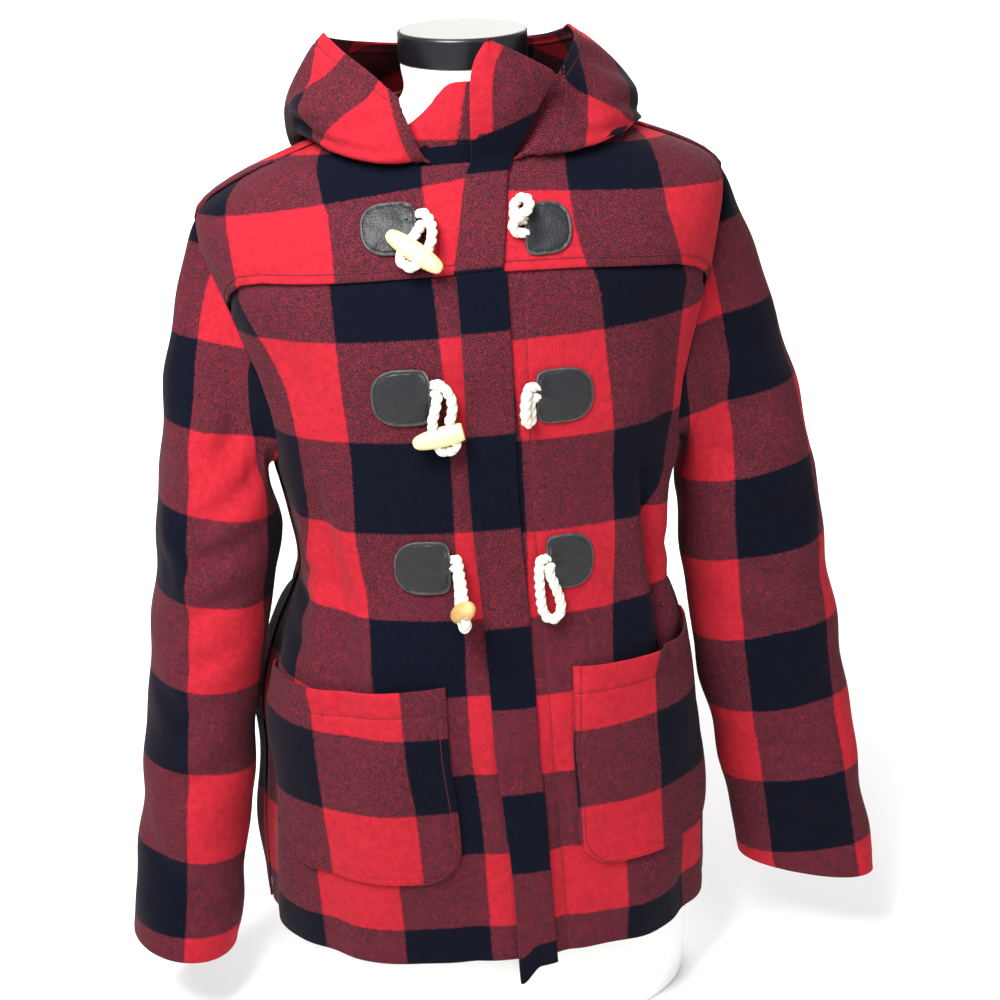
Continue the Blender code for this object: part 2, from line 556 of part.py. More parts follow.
def hood_half(side, stations=15, steps=13):
    table = np.array(HOOD_LEFT if side > 0 else HOOD_RIGHT, float)
    columns = []
    for degrees in np.linspace(table[0, 0], 180, stations):
        rest_z, belly_r, belly_z, side_r, side_z, rim, rim_r, rim_z = curve_through(table, degrees)
        turn = rim - degrees
        a = math.radians(degrees)
        round_neck = math.degrees(math.atan2(0.55 * math.sin(a), math.cos(a)))
        seam_z = line_through(NECKLINE, min(round_neck, 90))
        seam = neck_ring(side * degrees, seam_z)
        rest = neck_ring(side * degrees, rest_z)
        belly = polar(side * (degrees + 0.2 * turn), belly_r, belly_z)
        rest = rest + (0.5 * (seam + belly) - rest) * smooth(55, 30, degrees)
        p = through([seam, rest, belly, polar(side * (degrees + 0.55 * turn), side_r, side_z),
                     polar(side * rim, rim_r, rim_z)], steps)
        for _ in range(2):
            p[1:-1] = (p[:-2] + 2 * p[1:-1] + p[2:]) / 4
        p = off_body(p, 0.0034 + 0.0014 * np.minimum(np.arange(steps), 2)[:, None] / 2)
        if degrees > 179:
            p[:, 0] = side * 2.5 * SEAM
        columns.append(p)
    points = np.array(columns).transpose(1, 0, 2)
    return cloth("hood_left" if side > 0 else "hood_right", points, WINE if side > 0 else RED, flip=side < 0)


def flap_lower(rows=18):
    z = np.linspace(YOKE_RIGHT[0][1] - 0.0008, HEM_Z - 0.006, rows)[::-1]
    across = np.linspace(0, 1, 4)
    low = 0.066
    grid = []
    for k, height in enumerate(z):
        t = (height - z[0]) / (z[-1] - z[0])
        edge = -FLAP_HALF[0] + 0.0055 * smooth(0.25, 1.0, 1 - t)
        u = middle(height) + edge + (FLAP_HALF[1] - edge) * across
        drop = (z[0] - low) * (1 - smooth(0.0, 0.55, across)) * smooth(0.12, 0.0, t)
        grid.append(on_body(u, height - drop, LAP + 0.0002 + 0.0006 * (1 - across)))
    return cloth("flap_lower", np.array(grid), WINE)


def flap_upper(rows=7):
    """The same strip over the yoke, then free of it as a lapel that ends in a point."""
    across = np.linspace(0, 1, 5)
    grid = []
    for height in np.linspace(YOKE_RIGHT[0][1] + 0.0008, LAPEL[0][0] - 0.012, rows):
        t = smooth(0.69, LAPEL[0][0], height)
        left = -FLAP_HALF[0] + (LAPEL[0][1] + FLAP_HALF[0]) * t
        right = FLAP_HALF[1] + (LAPEL[0][2] - FLAP_HALF[1]) * t
        grid.append(on_body(left + (right - left) * across, height, LAP + 0.0002))
    table = np.array(LAPEL)
    for height in np.concatenate([np.linspace(LAPEL[0][0], 0.805, 6), (0.814, 0.823, LAPEL[-1][0])]):
        left, right, fwd = curve_through(table, height)
        x = left + (right - left) * across
        grid.append(np.stack([x, -fwd + 3.0 * x**2, np.full(5, height)], 1))
    return cloth("flap_upper", np.array(grid), WINE)


def neck_guard(cols=8, rows=5):
    """The other front's edge, standing against the neck behind the lapel."""
    table = np.array(GUARD)[::-1]
    grid = []
    for degrees in np.linspace(table[0, 0], table[-1, 0], cols):
        top, reach = curve_through(table, degrees)
        foot = ring(math.radians(degrees), float(line_through(NECKLINE, abs(degrees))))
        foot = foot * (0.93, 0.93, 1) + np.array([0, 0, 0.0015])
        head = polar(degrees, reach, top)
        grid.append(through([foot, (foot + head) / 2 - np.array([0, 0.001, 0]), head], rows))
    return cloth("neck_guard", np.array(grid).transpose(1, 0, 2), RED)


# ---------------------------------------------------------------- what lies on the fronts
def plate(name, outline, wall, out, material, rings=2, side=1):
    """A flat piece laid on the body: an outline in tape distance and height, filled with rings to its centre."""
    outline = np.asarray(outline, float)
    centre = outline.mean(0)
    n = len(outline)
    flat = [centre + (outline - centre) * k for k in np.linspace(1, 1 / rings, rings)]
    flat = np.concatenate(flat + [centre[None]])
    top = on_body(flat[:, 0], flat[:, 1], out)
    faces = []
    for r in range(rings - 1):
        for i in range(n):
            j = (i + 1) % n
            faces.append((r * n + i, r * n + j, (r + 1) * n + j, (r + 1) * n + i))
    faces += [((rings - 1) * n + i, (rings - 1) * n + (i + 1) % n, rings * n) for i in range(n)]
    if side < 0:
        faces = [f[::-1] for f in faces]
    mesh = bpy.data.meshes.new(name)
    mesh.from_pydata([tuple(map(float, p)) for p in top], [], faces)
    obj = add(name, mesh, material)
    solid = obj.modifiers.new("wall", "SOLIDIFY")
    solid.thickness = wall
    solid.offset = -1
    return obj


def pocket(side, cols=10, rows=9):
    """Patch pocket with round lower corners and a mouth that stands a little open."""
    near0, near1, far0, far1, foot, mouth, fall = POCKET_LEFT if side > 0 else POCKET_RIGHT
    heights = np.concatenate([foot + POCKET_CORNER * (1 - np.cos(np.radians((0, 28, 52, 75)))),
                              np.linspace(foot + POCKET_CORNER * 1.2, mouth, rows - 4)])
    grid = []
    for z in heights:
        v = (z - foot) / (mouth - foot)
        rise = max(POCKET_CORNER - (z - foot), 0)
        cut = POCKET_CORNER - math.sqrt(POCKET_CORNER**2 - rise**2)
        across = np.linspace(0, 1, cols)
        near, far = near0 + (near1 - near0) * v + 0.95 * cut, far0 + (far1 - far0) * v - 0.95 * cut
        u = side * (near + (far - near) * across)
        sag = -0.003 * np.sin(math.pi * across) * v**3 - fall * across**2 * smooth(0.3, 1.0, v)
        belly = 0.0020 * np.sin(math.pi * across) ** 0.7 * smooth(0.35, 1.0, v)
        grid.append(on_body(u, z + sag, LAP + 0.0011 + belly))
    return cloth("pocket_left" if side > 0 else "pocket_right", np.array(grid), WINE, flip=side < 0)


def patch_outline(side, width, height, n=16):
    """A D: straight on the side towards the middle, round on the other."""
    pts = []
    for k in range(n):
        a = 2 * math.pi * (k + 0.5) / n
        c, s = math.cos(a), math.sin(a)
        x = math.copysign(abs(c) ** (2 / (2.3 if c > 0 else 5.5)), c) * width / 2
        y = math.copysign(abs(s) ** (2 / (2.6 if c > 0 else 5.5)), s) * height / 2
        pts.append((side * x, y))
    return np.array(pts)


def patch(name, u, z, width, height):
    side = 1 if u > 0 else -1
    slope = np.linalg.norm(on_body(u, z + 0.002) - on_body(u, z - 0.002)) / 0.004
    flat = patch_outline(side, width, height) * (1, 1 / slope) + (u, z)
    return plate(name, flat, LEATHER, LEATHER + GAP, HIDE, side=side)


# ---------------------------------------------------------------- toggles and rope loops
cutters = bpy.data.collections.new("cutters")
bpy.context.scene.collection.children.link(cutters)


def toggle_frame(name):
    """Matrix of a toggle: local Z along the peg, local X up through its holes."""
    u, z, out, lean, nose = TOGGLES[name][:5]
    centre = on_body(u, z, out)
    a = float(angle_at(u, z))
    n = outward(a, z)
    across = ring(a + 0.01, z) - ring(a - 0.01, z)
    across /= np.linalg.norm(across)
    up = np.cross(n, across)
    t, o = math.radians(lean), math.radians(nose)
    axis = (across * math.cos(t) + up * math.sin(t)) * math.cos(o) + n * math.sin(o)
    top = up - axis * (up @ axis)
    top /= np.linalg.norm(top)
    m = np.eye(4)
    m[:3, 0], m[:3, 1], m[:3, 2], m[:3, 3] = top, np.cross(axis, top), axis, centre
    return Matrix([[float(v) for v in row] for row in m])


def toggle(name):
    """Turned wooden peg with two holes across it; one end of the middle one is cut flat."""
    half, r = TOGGLE_LENGTH / 2, TOGGLE_RADIUS
    shares = np.linspace(0, 1, 9)[1:-1]
    profile = [(r * math.sin(math.pi * t) ** 0.62, half * math.cos(math.pi * t)) for t in shares]
    profile = [(0.0, half)] + profile + [(0.0, -half)]
    end = TOGGLES[name][5]
    if end < half:
        wide = r * math.sin(math.acos(end / half)) ** 0.62
        profile = [(0.0, end), (wide, end)] + [p for p in profile if p[1] < end - 0.001]
    mesh = bpy.data.meshes.new(name)
    mesh.from_pydata([(x, 0, z) for x, z in profile], [(i, i + 1) for i in range(len(profile) - 1)], [])
    obj = add(name, mesh, WOOD)
    obj.matrix_world = toggle_frame(name)
    screw = obj.modifiers.new("turn", "SCREW")
    screw.steps = screw.render_steps = 16
    screw.use_merge_vertices = True
    screw.merge_threshold = 0.00005
    screw.use_normal_calculate = True
    for k, z in enumerate((-HOLE_APART, HOLE_APART)):
        bpy.ops.mesh.primitive_cylinder_add(vertices=12, radius=CORD / 2 + 0.0012, depth=4 * r)
        drill = bpy.context.active_object
        drill.name = f"{name}_drill_{k}"
        across = Matrix.Translation((0, 0, z)) @ Matrix.Rotation(math.pi / 2, 4, "Y")
        drill.matrix_world = obj.matrix_world @ across
        for c in drill.users_collection:
            c.objects.unlink(drill)
        cutters.objects.link(drill)
        drill.hide_render = True
        drill.display_type = "WIRE"
        cut = obj.modifiers.new(f"hole_{k}", "BOOLEAN")
        cut.operation = "DIFFERENCE"
        cut.object = drill
    return obj


def toggle_rope(name):
    """Rope from the patch through one hole, round under the toggle and back through the other."""
    frame = toggle_frame(name)
    lead_in, lead_out = TOGGLE_ROPES[name]
    h, r = HOLE_APART, TOGGLE_RADIUS
    down = ((r + 0.002, -h), (0, -h), (-r + 0.001, -h), (-r - 0.0015, -0.95 * h), (-r - 0.0037, -0.62 * h))
    back = tuple((x, -z) for x, z in down[::-1])
    bend = (*down, (-r - 0.0046, 0), *back)
    points = [on_body(*at) for at in lead_in]
    points += [np.array(frame @ Vector((x, 0, z))) for x, z in bend]
    points += [on_body(*at) for at in lead_out]
    return rope("rope_" + name, points, 26)


def rope(name, points, n):
    curve = bpy.data.curves.new(name, "CURVE")
    curve.dimensions = "3D"
    curve.bevel_depth = CORD / 2
    curve.bevel_resolution = 2
    curve.use_fill_caps = True
    spline = curve.splines.new("POLY")
    p = through(points, n)
    spline.points.add(n - 1)
    for point, at in zip(spline.points, p):
        point.co = (*map(float, at), 1.0)
    obj = bpy.data.objects.new(name, curve)
    curve.materials.append(ROPE)
    collection.objects.link(obj)
    return obj


def main():
    dress_form()
    neck_cap()
    back_panel()
    for side in (1, -1):
        front_panel(side)
        yoke_panel(side)
        sleeve(side)
        hood_half(side)
        pocket(side)
    flap_lower()
    flap_upper()
    neck_guard()
    for name, (u, z, width, height) in PATCHES.items():
        patch(name, u, z, width, height)
    for name in TOGGLES:
        toggle(name)
        toggle_rope(name)
    for name, route in LOOPS.items():
        rope(name, [on_body(*at) for at in route], 20)


main()
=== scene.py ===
"""Hooded toggle jacket of red and black check wool on a white dress form: its finished surfaces.

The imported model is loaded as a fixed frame. Every cloth piece is made again here as a thin shell on the form
of its solid, with rounded edges, folds, stitch lines and the check laid on it; leather, rope and wood follow.
"""

import json
import math

import bpy
import numpy as np
from bpy.props import FloatProperty, FloatVectorProperty, PointerProperty
from bpy.types import Operator, Panel, PropertyGroup
from mathutils import Matrix, Vector

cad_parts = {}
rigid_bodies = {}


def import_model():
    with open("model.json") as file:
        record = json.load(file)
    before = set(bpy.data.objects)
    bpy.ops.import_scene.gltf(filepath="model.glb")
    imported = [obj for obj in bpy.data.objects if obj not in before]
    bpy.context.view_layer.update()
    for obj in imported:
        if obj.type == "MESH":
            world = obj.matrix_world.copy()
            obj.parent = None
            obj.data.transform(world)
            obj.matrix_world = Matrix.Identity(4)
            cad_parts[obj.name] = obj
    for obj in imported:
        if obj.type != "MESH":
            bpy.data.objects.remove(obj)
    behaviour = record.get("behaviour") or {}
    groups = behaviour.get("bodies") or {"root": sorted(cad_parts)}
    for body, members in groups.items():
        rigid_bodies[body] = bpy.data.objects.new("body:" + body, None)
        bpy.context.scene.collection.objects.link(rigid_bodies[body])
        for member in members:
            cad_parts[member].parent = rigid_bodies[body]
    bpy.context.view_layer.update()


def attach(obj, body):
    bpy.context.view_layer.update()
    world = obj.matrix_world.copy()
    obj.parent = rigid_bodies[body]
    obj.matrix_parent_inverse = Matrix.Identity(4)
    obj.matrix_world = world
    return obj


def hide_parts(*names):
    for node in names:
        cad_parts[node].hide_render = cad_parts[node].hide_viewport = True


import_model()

bl_info = {
    "name": "Hooded toggle jacket",
    "version": (1, 0, 0),
    "blender": (4, 5, 0),
    "location": "3D View > Sidebar > Jacket",
    "description": "Makes the wool, leather, rope and wood of a hooded toggle jacket over its frame",
    "category": "Object",
}

# ---------------------------------------------------------------- the cut, as the solids have it (m)
CLOTH = 0.0022            # wall of the wool
GAP = 0.0006              # between two cloths that lie on each other
LAP = CLOTH + GAP         # how far a piece that lies on another stands out
LEATHER = 0.0018          # thickness of the patches
CORD = 0.0066             # diameter of the ropes
SIDE = {-1: "right", 1: "left"}   # the wearer's sides, by the sign of X; tables with two sides are read by it
HEM_Z = 0.088
UNDERARM_Z = 0.488
SHOULDER_Z = 0.704
NECK_BACK_Z = 0.770
TILT = 0.034              # the wearer's left shoulder stands this much higher, per metre across

# Outer surface of the jacket: height, half width, front depth, back depth, squareness front, back
JACKET = (
    (0.040, 0.190, 0.141, 0.136, 2.4, 2.4), (0.088, 0.188, 0.142, 0.135, 2.4, 2.4),
    (0.160, 0.189, 0.143, 0.133, 2.6, 2.4), (0.235, 0.183, 0.142, 0.130, 2.7, 2.4),
    (0.300, 0.178, 0.139, 0.125, 2.7, 2.4), (0.345, 0.166, 0.133, 0.118, 2.7, 2.4),
    (0.395, 0.149, 0.126, 0.110, 2.6, 2.4), (0.445, 0.155, 0.122, 0.110, 2.6, 2.4),
    (0.500, 0.166, 0.122, 0.116, 2.6, 2.4), (0.550, 0.176, 0.122, 0.121, 2.6, 2.4),
    (0.600, 0.187, 0.119, 0.122, 2.6, 2.4), (0.640, 0.197, 0.113, 0.118, 2.6, 2.4),
    (0.665, 0.204, 0.107, 0.113, 2.6, 2.4), (0.690, 0.209, 0.096, 0.107, 2.5, 2.3),
    (0.704, 0.208, 0.087, 0.102, 2.4, 2.2), (0.716, 0.197, 0.078, 0.096, 2.3, 2.1),
    (0.728, 0.175, 0.070, 0.090, 2.2, 2.1), (0.741, 0.143, 0.063, 0.083, 2.1, 2.0),
    (0.757, 0.100, 0.057, 0.072, 2.0, 2.0), (0.775, 0.060, 0.052, 0.057, 2.0, 2.0),
)
# Outer surface of the dress form, same columns
FORM = (
    (0.000, 0.171, 0.118, 0.112, 2.3, 2.2), (0.060, 0.175, 0.122, 0.115, 2.3, 2.2),
    (0.130, 0.176, 0.124, 0.117, 2.3, 2.2), (0.210, 0.171, 0.122, 0.115, 2.3, 2.2),
    (0.300, 0.150, 0.113, 0.106, 2.3, 2.2), (0.380, 0.131, 0.104, 0.097, 2.3, 2.2),
    (0.450, 0.136, 0.104, 0.100, 2.3, 2.2), (0.520, 0.152, 0.108, 0.107, 2.3, 2.2),
    (0.600, 0.173, 0.107, 0.112, 2.3, 2.2), (0.650, 0.188, 0.101, 0.109, 2.3, 2.2),
    (0.685, 0.200, 0.088, 0.101, 2.3, 2.2), (0.702, 0.200, 0.078, 0.094, 2.3, 2.1),
    (0.714, 0.184, 0.070, 0.088, 2.2, 2.1), (0.726, 0.160, 0.062, 0.081, 2.1, 2.0),
    (0.740, 0.126, 0.056, 0.073, 2.0, 2.0), (0.757, 0.082, 0.050, 0.061, 2.0, 2.0),
    (0.775, 0.053, 0.048, 0.050, 2.0, 2.0), (0.8062, 0.049, 0.049, 0.049, 2.0, 2.0),
)
# The jacket hangs a little to one side: height, sideways shift
SWAY = ((0.04, 0.0), (0.16, 0.0), (0.23, -0.001), (0.276, -0.004), (0.33, -0.003), (0.40, 0.001), (0.52, 0.0),
        (0.69, -0.0035), (0.725, -0.003), (0.76, 0.0), (0.83, 0.0))
# Where the middle of the front runs: height, sideways shift
MIDDLE = ((0.04, 0.027), (0.088, 0.023), (0.172, 0.018), (0.318, 0.013), (0.455, 0.002), (0.65, 0.002),
          (0.80, 0.0))
# Armholes: height, angle round the body in degrees, for each front and for the back
ARMHOLE = {
    -1: ((0.488, 90), (0.495, 83), (0.505, 76), (0.520, 71), (0.545, 69), (0.572, 70), (0.600, 74),
         (0.618, 76), (0.634, 78), (0.645, 81), (0.665, 84), (0.687, 86), (0.704, 90)),
    1: ((0.488, 90), (0.495, 80), (0.505, 71), (0.520, 64), (0.545, 62), (0.572, 66), (0.590, 69),
        (0.607, 73), (0.622, 75), (0.645, 77), (0.665, 79), (0.687, 83), (0.704, 90)),
}
ARMHOLE_BACK = ((0.488, 90), (0.495, 97), (0.505, 103), (0.520, 107), (0.545, 109), (0.575, 109),
                (0.603, 108), (0.631, 106), (0.660, 102), (0.687, 97), (0.704, 90))
# Lower edge of each front yoke: angle in degrees, height; the last row is at the armhole
YOKE = {
    -1: ((0, 0.664), (30, 0.663), (50, 0.663), (60, 0.659), (69, 0.649), (78, 0.634)),
    1: ((0, 0.663), (15, 0.660), (30, 0.655), (45, 0.650), (56, 0.643), (66, 0.634), (75, 0.622)),
}
# Neckline of the front: angle in degrees, height
NECKLINE = ((0, 0.740), (16, 0.740), (36, 0.752), (60, 0.764), (90, 0.770))
# Sleeves, down the arm: height, distance out of the middle and forward, half width and depth, turn
SLEEVE = {
    -1: ((0.440, 0.2120, 0.004, 0.0505, 0.062, 0), (0.375, 0.2215, 0.006, 0.0485, 0.059, 0),
         (0.300, 0.2340, 0.010, 0.0460, 0.056, 0), (0.225, 0.2430, 0.014, 0.0460, 0.053, 0),
         (0.143, 0.2550, 0.018, 0.0450, 0.051, 0), (0.072, 0.2650, 0.020, 0.0445, 0.049, 0)),
    1: ((0.440, 0.2270, 0.004, 0.0600, 0.052, 0), (0.361, 0.2370, 0.006, 0.0610, 0.048, 8),
        (0.283, 0.2485, 0.010, 0.0620, 0.043, 14), (0.225, 0.2590, 0.014, 0.0610, 0.040, 18),
        (0.159, 0.2705, 0.018, 0.0600, 0.037, 22), (0.089, 0.2820, 0.020, 0.0610, 0.034, 25)),
}
CUFF_TILT = {1: -0.16, -1: 0.10}     # how much higher the outer side of each cuff hangs, per metre across
# Hood lying down, a row for each station round the neck, in degrees from the front: height where it rests on
# the body, reach and height of its lowest belly and of its side, then turn, reach and height of its free rim
HOOD = {
    -1: (
        (27, 0.7440, 0.0790, 0.744, 0.0810, 0.762, 46, 0.0815, 0.790),
        (42, 0.7500, 0.0960, 0.740, 0.1000, 0.764, 60, 0.0880, 0.806),
        (60, 0.7570, 0.1160, 0.744, 0.1240, 0.774, 76, 0.0980, 0.820),
        (80, 0.7600, 0.1350, 0.752, 0.1370, 0.782, 92, 0.1070, 0.830),
        (105, 0.7540, 0.1420, 0.737, 0.1420, 0.778, 108, 0.1060, 0.822),
        (130, 0.7380, 0.1540, 0.680, 0.1560, 0.755, 130, 0.1010, 0.813),
        (155, 0.7200, 0.1620, 0.628, 0.1680, 0.735, 155, 0.0970, 0.806),
        (180, 0.7150, 0.1640, 0.610, 0.1720, 0.725, 180, 0.0950, 0.804),
    ),
    1: (
        (27, 0.7440, 0.0800, 0.744, 0.0830, 0.766, 54, 0.0840, 0.800),
        (42, 0.7500, 0.0980, 0.740, 0.1000, 0.770, 66, 0.0860, 0.813),
        (60, 0.7570, 0.1240, 0.743, 0.1160, 0.778, 80, 0.0880, 0.823),
        (80, 0.7600, 0.1470, 0.749, 0.1300, 0.786, 94, 0.0860, 0.828),
        (105, 0.7540, 0.1500, 0.736, 0.1400, 0.780, 110, 0.0890, 0.821),
        (130, 0.7380, 0.1560, 0.680, 0.1580, 0.755, 130, 0.0930, 0.812),
        (155, 0.7200, 0.1620, 0.628, 0.1680, 0.735, 155, 0.0950, 0.806),
        (180, 0.7150, 0.1640, 0.610, 0.1720, 0.725, 180, 0.0950, 0.804),
    ),
}
FLAP_HALF = (0.0215, 0.0145)      # the storm flap's free edge and stitched edge from the middle
# Lapel above the neckline: height, free edge, other edge, how far forward
LAPEL = (
    (0.742, -0.0035, 0.0270, 0.0685), (0.760, -0.0045, 0.0370, 0.0740), (0.785, -0.0050, 0.0500, 0.0770),
    (0.805, -0.0040, 0.0600, 0.0775), (0.814, -0.0022, 0.0465, 0.0770), (0.823, 0.0016, 0.0305, 0.0765),
    (0.833, 0.0080, 0.0108, 0.0760),
)
# The neck guard, under the lapel: turn in degrees, height and reach of its top edge
GUARD = ((-42, 0.772, 0.0610), (-31, 0.784, 0.0610), (-20, 0.797, 0.0620), (-8, 0.800, 0.0625),
         (3, 0.799, 0.0635))
# Pockets: the two upright edges by tape, at the foot and at the mouth, the two heights, the mouth's fall
POCKET = {
    -1: (0.038, 0.044, 0.200, 0.238, 0.1670, 0.335, 0.014),
    1: (0.058, 0.060, 0.208, 0.224, 0.1680, 0.342, 0.0),
}
POCKET_CORNER = 0.032
# Leather patches: tape from the middle of the body, height of the centre, width, height
PATCHES = {
    "patch_right_top": (-0.0685, 0.6985, 0.0425, 0.0420),
    "patch_right_middle": (-0.0695, 0.5735, 0.0455, 0.0445),
    "patch_right_bottom": (-0.0609, 0.4325, 0.0443, 0.0440),
    "patch_left_top": (0.0522, 0.6900, 0.0370, 0.0410),
    "patch_left_middle": (0.0565, 0.5660, 0.0463, 0.0430),
    "patch_left_bottom": (0.0560, 0.4300, 0.0393, 0.0450),
}
# Toggles: tape and height of the middle of the holes, how far out, lean in the cloth's plane, how far the
# nose points out, and length from the holes to the right-hand end
TOGGLES = {
    "toggle_top": (-0.0510, 0.6810, 0.0115, -40, 3, 0.0250),
    "toggle_middle": (-0.0387, 0.5448, 0.0112, 13, 3, 0.0146),
    "toggle_bottom": (-0.0316, 0.4030, 0.0262, 68, 63, 0.0250),
}
TOGGLE_LENGTH = 0.050
TOGGLE_RADIUS = 0.0078
HOLE_APART = 0.0069
# Rope of each toggle, from its patch to the toggle and back again: tape, height, distance out of the cloth
TOGGLE_ROPES = {
    "toggle_top": (((-0.0433, 0.6990, 0.0044), (-0.0456, 0.6960, 0.0080)),
                   ((-0.0366, 0.6930, 0.0105), (-0.0372, 0.7000, 0.0075), (-0.0425, 0.7066, 0.0044))),
    "toggle_middle": (((-0.0424, 0.5765, 0.0044), (-0.0435, 0.5690, 0.0080)),
                      ((-0.0318, 0.5630, 0.0092), (-0.0325, 0.5740, 0.0068), (-0.0424, 0.5840, 0.0044))),
    "toggle_bottom": (((-0.0348, 0.4325, 0.0044), (-0.0338, 0.4250, 0.0070), (-0.0333, 0.4170, 0.0120)),
                      ((-0.0318, 0.4225, 0.0215), (-0.0330, 0.4320, 0.0125), (-0.0348, 0.4402, 0.0050))),
}
# Free rope loops of the other side, all the way round, same columns
LOOPS = {
    "loop_top": ((0.0328, 0.6880, 0.0042), (0.0290, 0.6880, 0.0046), (0.0252, 0.6900, 0.0070),
                 (0.0252, 0.6945, 0.0102), (0.0302, 0.6972, 0.0122), (0.0358, 0.7000, 0.0132),
                 (0.0380, 0.7046, 0.0120), (0.0348, 0.7088, 0.0095), (0.0292, 0.7078, 0.0064),
                 (0.0270, 0.7020, 0.0044), (0.0286, 0.6968, 0.0042), (0.0328, 0.6960, 0.0042)),
    "loop_middle": ((0.0322, 0.5755, 0.0042), (0.0280, 0.5750, 0.0062), (0.0246, 0.5695, 0.0098),
                    (0.0233, 0.5610, 0.0108), (0.0233, 0.5530, 0.0098), (0.0252, 0.5480, 0.0072),
                    (0.0280, 0.5490, 0.0048), (0.0288, 0.5560, 0.0042), (0.0287, 0.5630, 0.0042),
                    (0.0300, 0.5668, 0.0042), (0.0322, 0.5672, 0.0042)),
    "loop_bottom": ((0.0352, 0.4350, 0.0043), (0.0313, 0.4336, 0.0054), (0.0296, 0.4265, 0.0064),
                    (0.0297, 0.4150, 0.0060), (0.0306, 0.4030, 0.0052), (0.0326, 0.3925, 0.0046),
                    (0.0370, 0.3856, 0.0043), (0.0428, 0.3849, 0.0043), (0.0466, 0.3902, 0.0044),
                    (0.0462, 0.3985, 0.0050), (0.0432, 0.4075, 0.0068), (0.0400, 0.4160, 0.0074),
                    (0.0376, 0.4225, 0.0072), (0.0372, 0.4270, 0.0070)),
}

# ---------------------------------------------------------------- the check, and the folds of the cloth
CHECK = 0.074             # width of one colour band
# Edges of the check's columns on each front: height, tape to the first, second and third edge from the flap
COLUMNS = {
    -1: ((0.088, 0.0160, 0.0865, 0.1610), (0.230, 0.0215, 0.0930, 0.1720), (0.370, 0.0281, 0.1025, 0.1843),
         (0.450, 0.0345, 0.1127, 0.1640), (0.530, 0.0342, 0.1117, 0.1560), (0.575, 0.0350, 0.1130, 0.1620),
         (0.610, 0.0358, 0.1124, 0.1740), (0.650, 0.0365, 0.1120, 0.1950), (0.710, 0.0394, 0.1131, 0.1974),
         (0.765, 0.0420, 0.1300, 0.2040)),
    1: ((0.088, 0.0999, 0.1735, 0.2480), (0.230, 0.0975, 0.1620, 0.2360), (0.360, 0.0944, 0.1480, 0.2220),
        (0.450, 0.0960, 0.1330, 0.2060), (0.530, 0.0950, 0.1600, 0.2340), (0.640, 0.0859, 0.1663, 0.2400),
        (0.690, 0.0728, 0.1505, 0.2257), (0.765, 0.0700, 0.1480, 0.2220)),
}
# Height of the upper edge of each row of the check, from the topmost red row downwards
ROWS = {
    "front_right": (0.6182, 0.5363, 0.4604, 0.3885, 0.3266, 0.2587, 0.1888, 0.1209, 0.0530),
    "front_left": (0.6122, 0.5323, 0.4564, 0.3865, 0.3226, 0.2547, 0.1868, 0.1229, 0.0580),
    "flap_lower": (0.6200, 0.5400, 0.4620, 0.3805, 0.3146, 0.2407, 0.1708, 0.1029, 0.0340),
    "sleeve_right": (0.675, 0.601, 0.531, 0.463, 0.388, 0.315, 0.242, 0.164, 0.094, 0.024),
    "sleeve_left": (0.675, 0.602, 0.531, 0.464, 0.392, 0.319, 0.251, 0.183, 0.113, 0.045),
}
DEEPER = 1.35             # every fold's depth is taken this many times
# Folds of the body: from tape and height to tape and height, width, depth; a trough is negative
BODY_FOLDS = (
    (-0.152, 0.505, -0.120, 0.300, 0.013, -0.0045), (-0.128, 0.500, -0.098, 0.320, 0.016, 0.0028),
    (-0.178, 0.470, -0.150, 0.330, 0.014, 0.0035), (-0.165, 0.625, -0.132, 0.560, 0.013, -0.0022),
    (-0.215, 0.430, -0.158, 0.405, 0.009, -0.0030), (-0.220, 0.392, -0.160, 0.380, 0.009, -0.0026),
    (-0.210, 0.355, -0.150, 0.352, 0.010, -0.0024), (-0.028, 0.340, -0.030, 0.060, 0.012, -0.0028),
    (-0.085, 0.330, -0.100, 0.060, 0.026, 0.0030), (-0.150, 0.190, -0.155, 0.060, 0.018, -0.0040),
    (0.127, 0.490, 0.150, 0.335, 0.007, -0.0085), (0.110, 0.470, 0.134, 0.345, 0.013, 0.0050),
    (0.149, 0.480, 0.172, 0.350, 0.015, 0.0055), (0.152, 0.610, 0.146, 0.520, 0.012, -0.0028),
    (0.205, 0.435, 0.160, 0.415, 0.009, -0.0028), (0.215, 0.395, 0.168, 0.385, 0.009, -0.0028),
    (0.050, 0.390, 0.056, 0.330, 0.012, -0.0022), (0.046, 0.260, 0.048, 0.060, 0.011, -0.0030),
    (0.108, 0.165, 0.118, 0.060, 0.022, 0.0040), (0.165, 0.180, 0.175, 0.060, 0.016, -0.0042),
    (0.235, 0.560, 0.275, 0.430, 0.016, -0.0040), (0.330, 0.600, 0.300, 0.420, 0.022, -0.0036),
    (0.240, 0.410, 0.335, 0.385, 0.011, -0.0036), (0.235, 0.370, 0.320, 0.362, 0.011, -0.0030),
    (0.290, 0.350, 0.285, 0.060, 0.030, 0.0055), (0.235, 0.330, 0.232, 0.060, 0.020, -0.0045),
    (0.350, 0.330, 0.352, 0.060, 0.018, -0.0045),
    (-0.240, 0.570, -0.282, 0.425, 0.017, -0.0042), (-0.318, 0.590, -0.296, 0.430, 0.020, -0.0030),
    (-0.245, 0.405, -0.340, 0.392, 0.011, -0.0034), (-0.238, 0.366, -0.315, 0.372, 0.010, -0.0030),
    (-0.300, 0.350, -0.306, 0.060, 0.030, 0.0050), (-0.242, 0.335, -0.250, 0.060, 0.019, -0.0048),
    (-0.356, 0.340, -0.350, 0.060, 0.019, -0.0040),
)
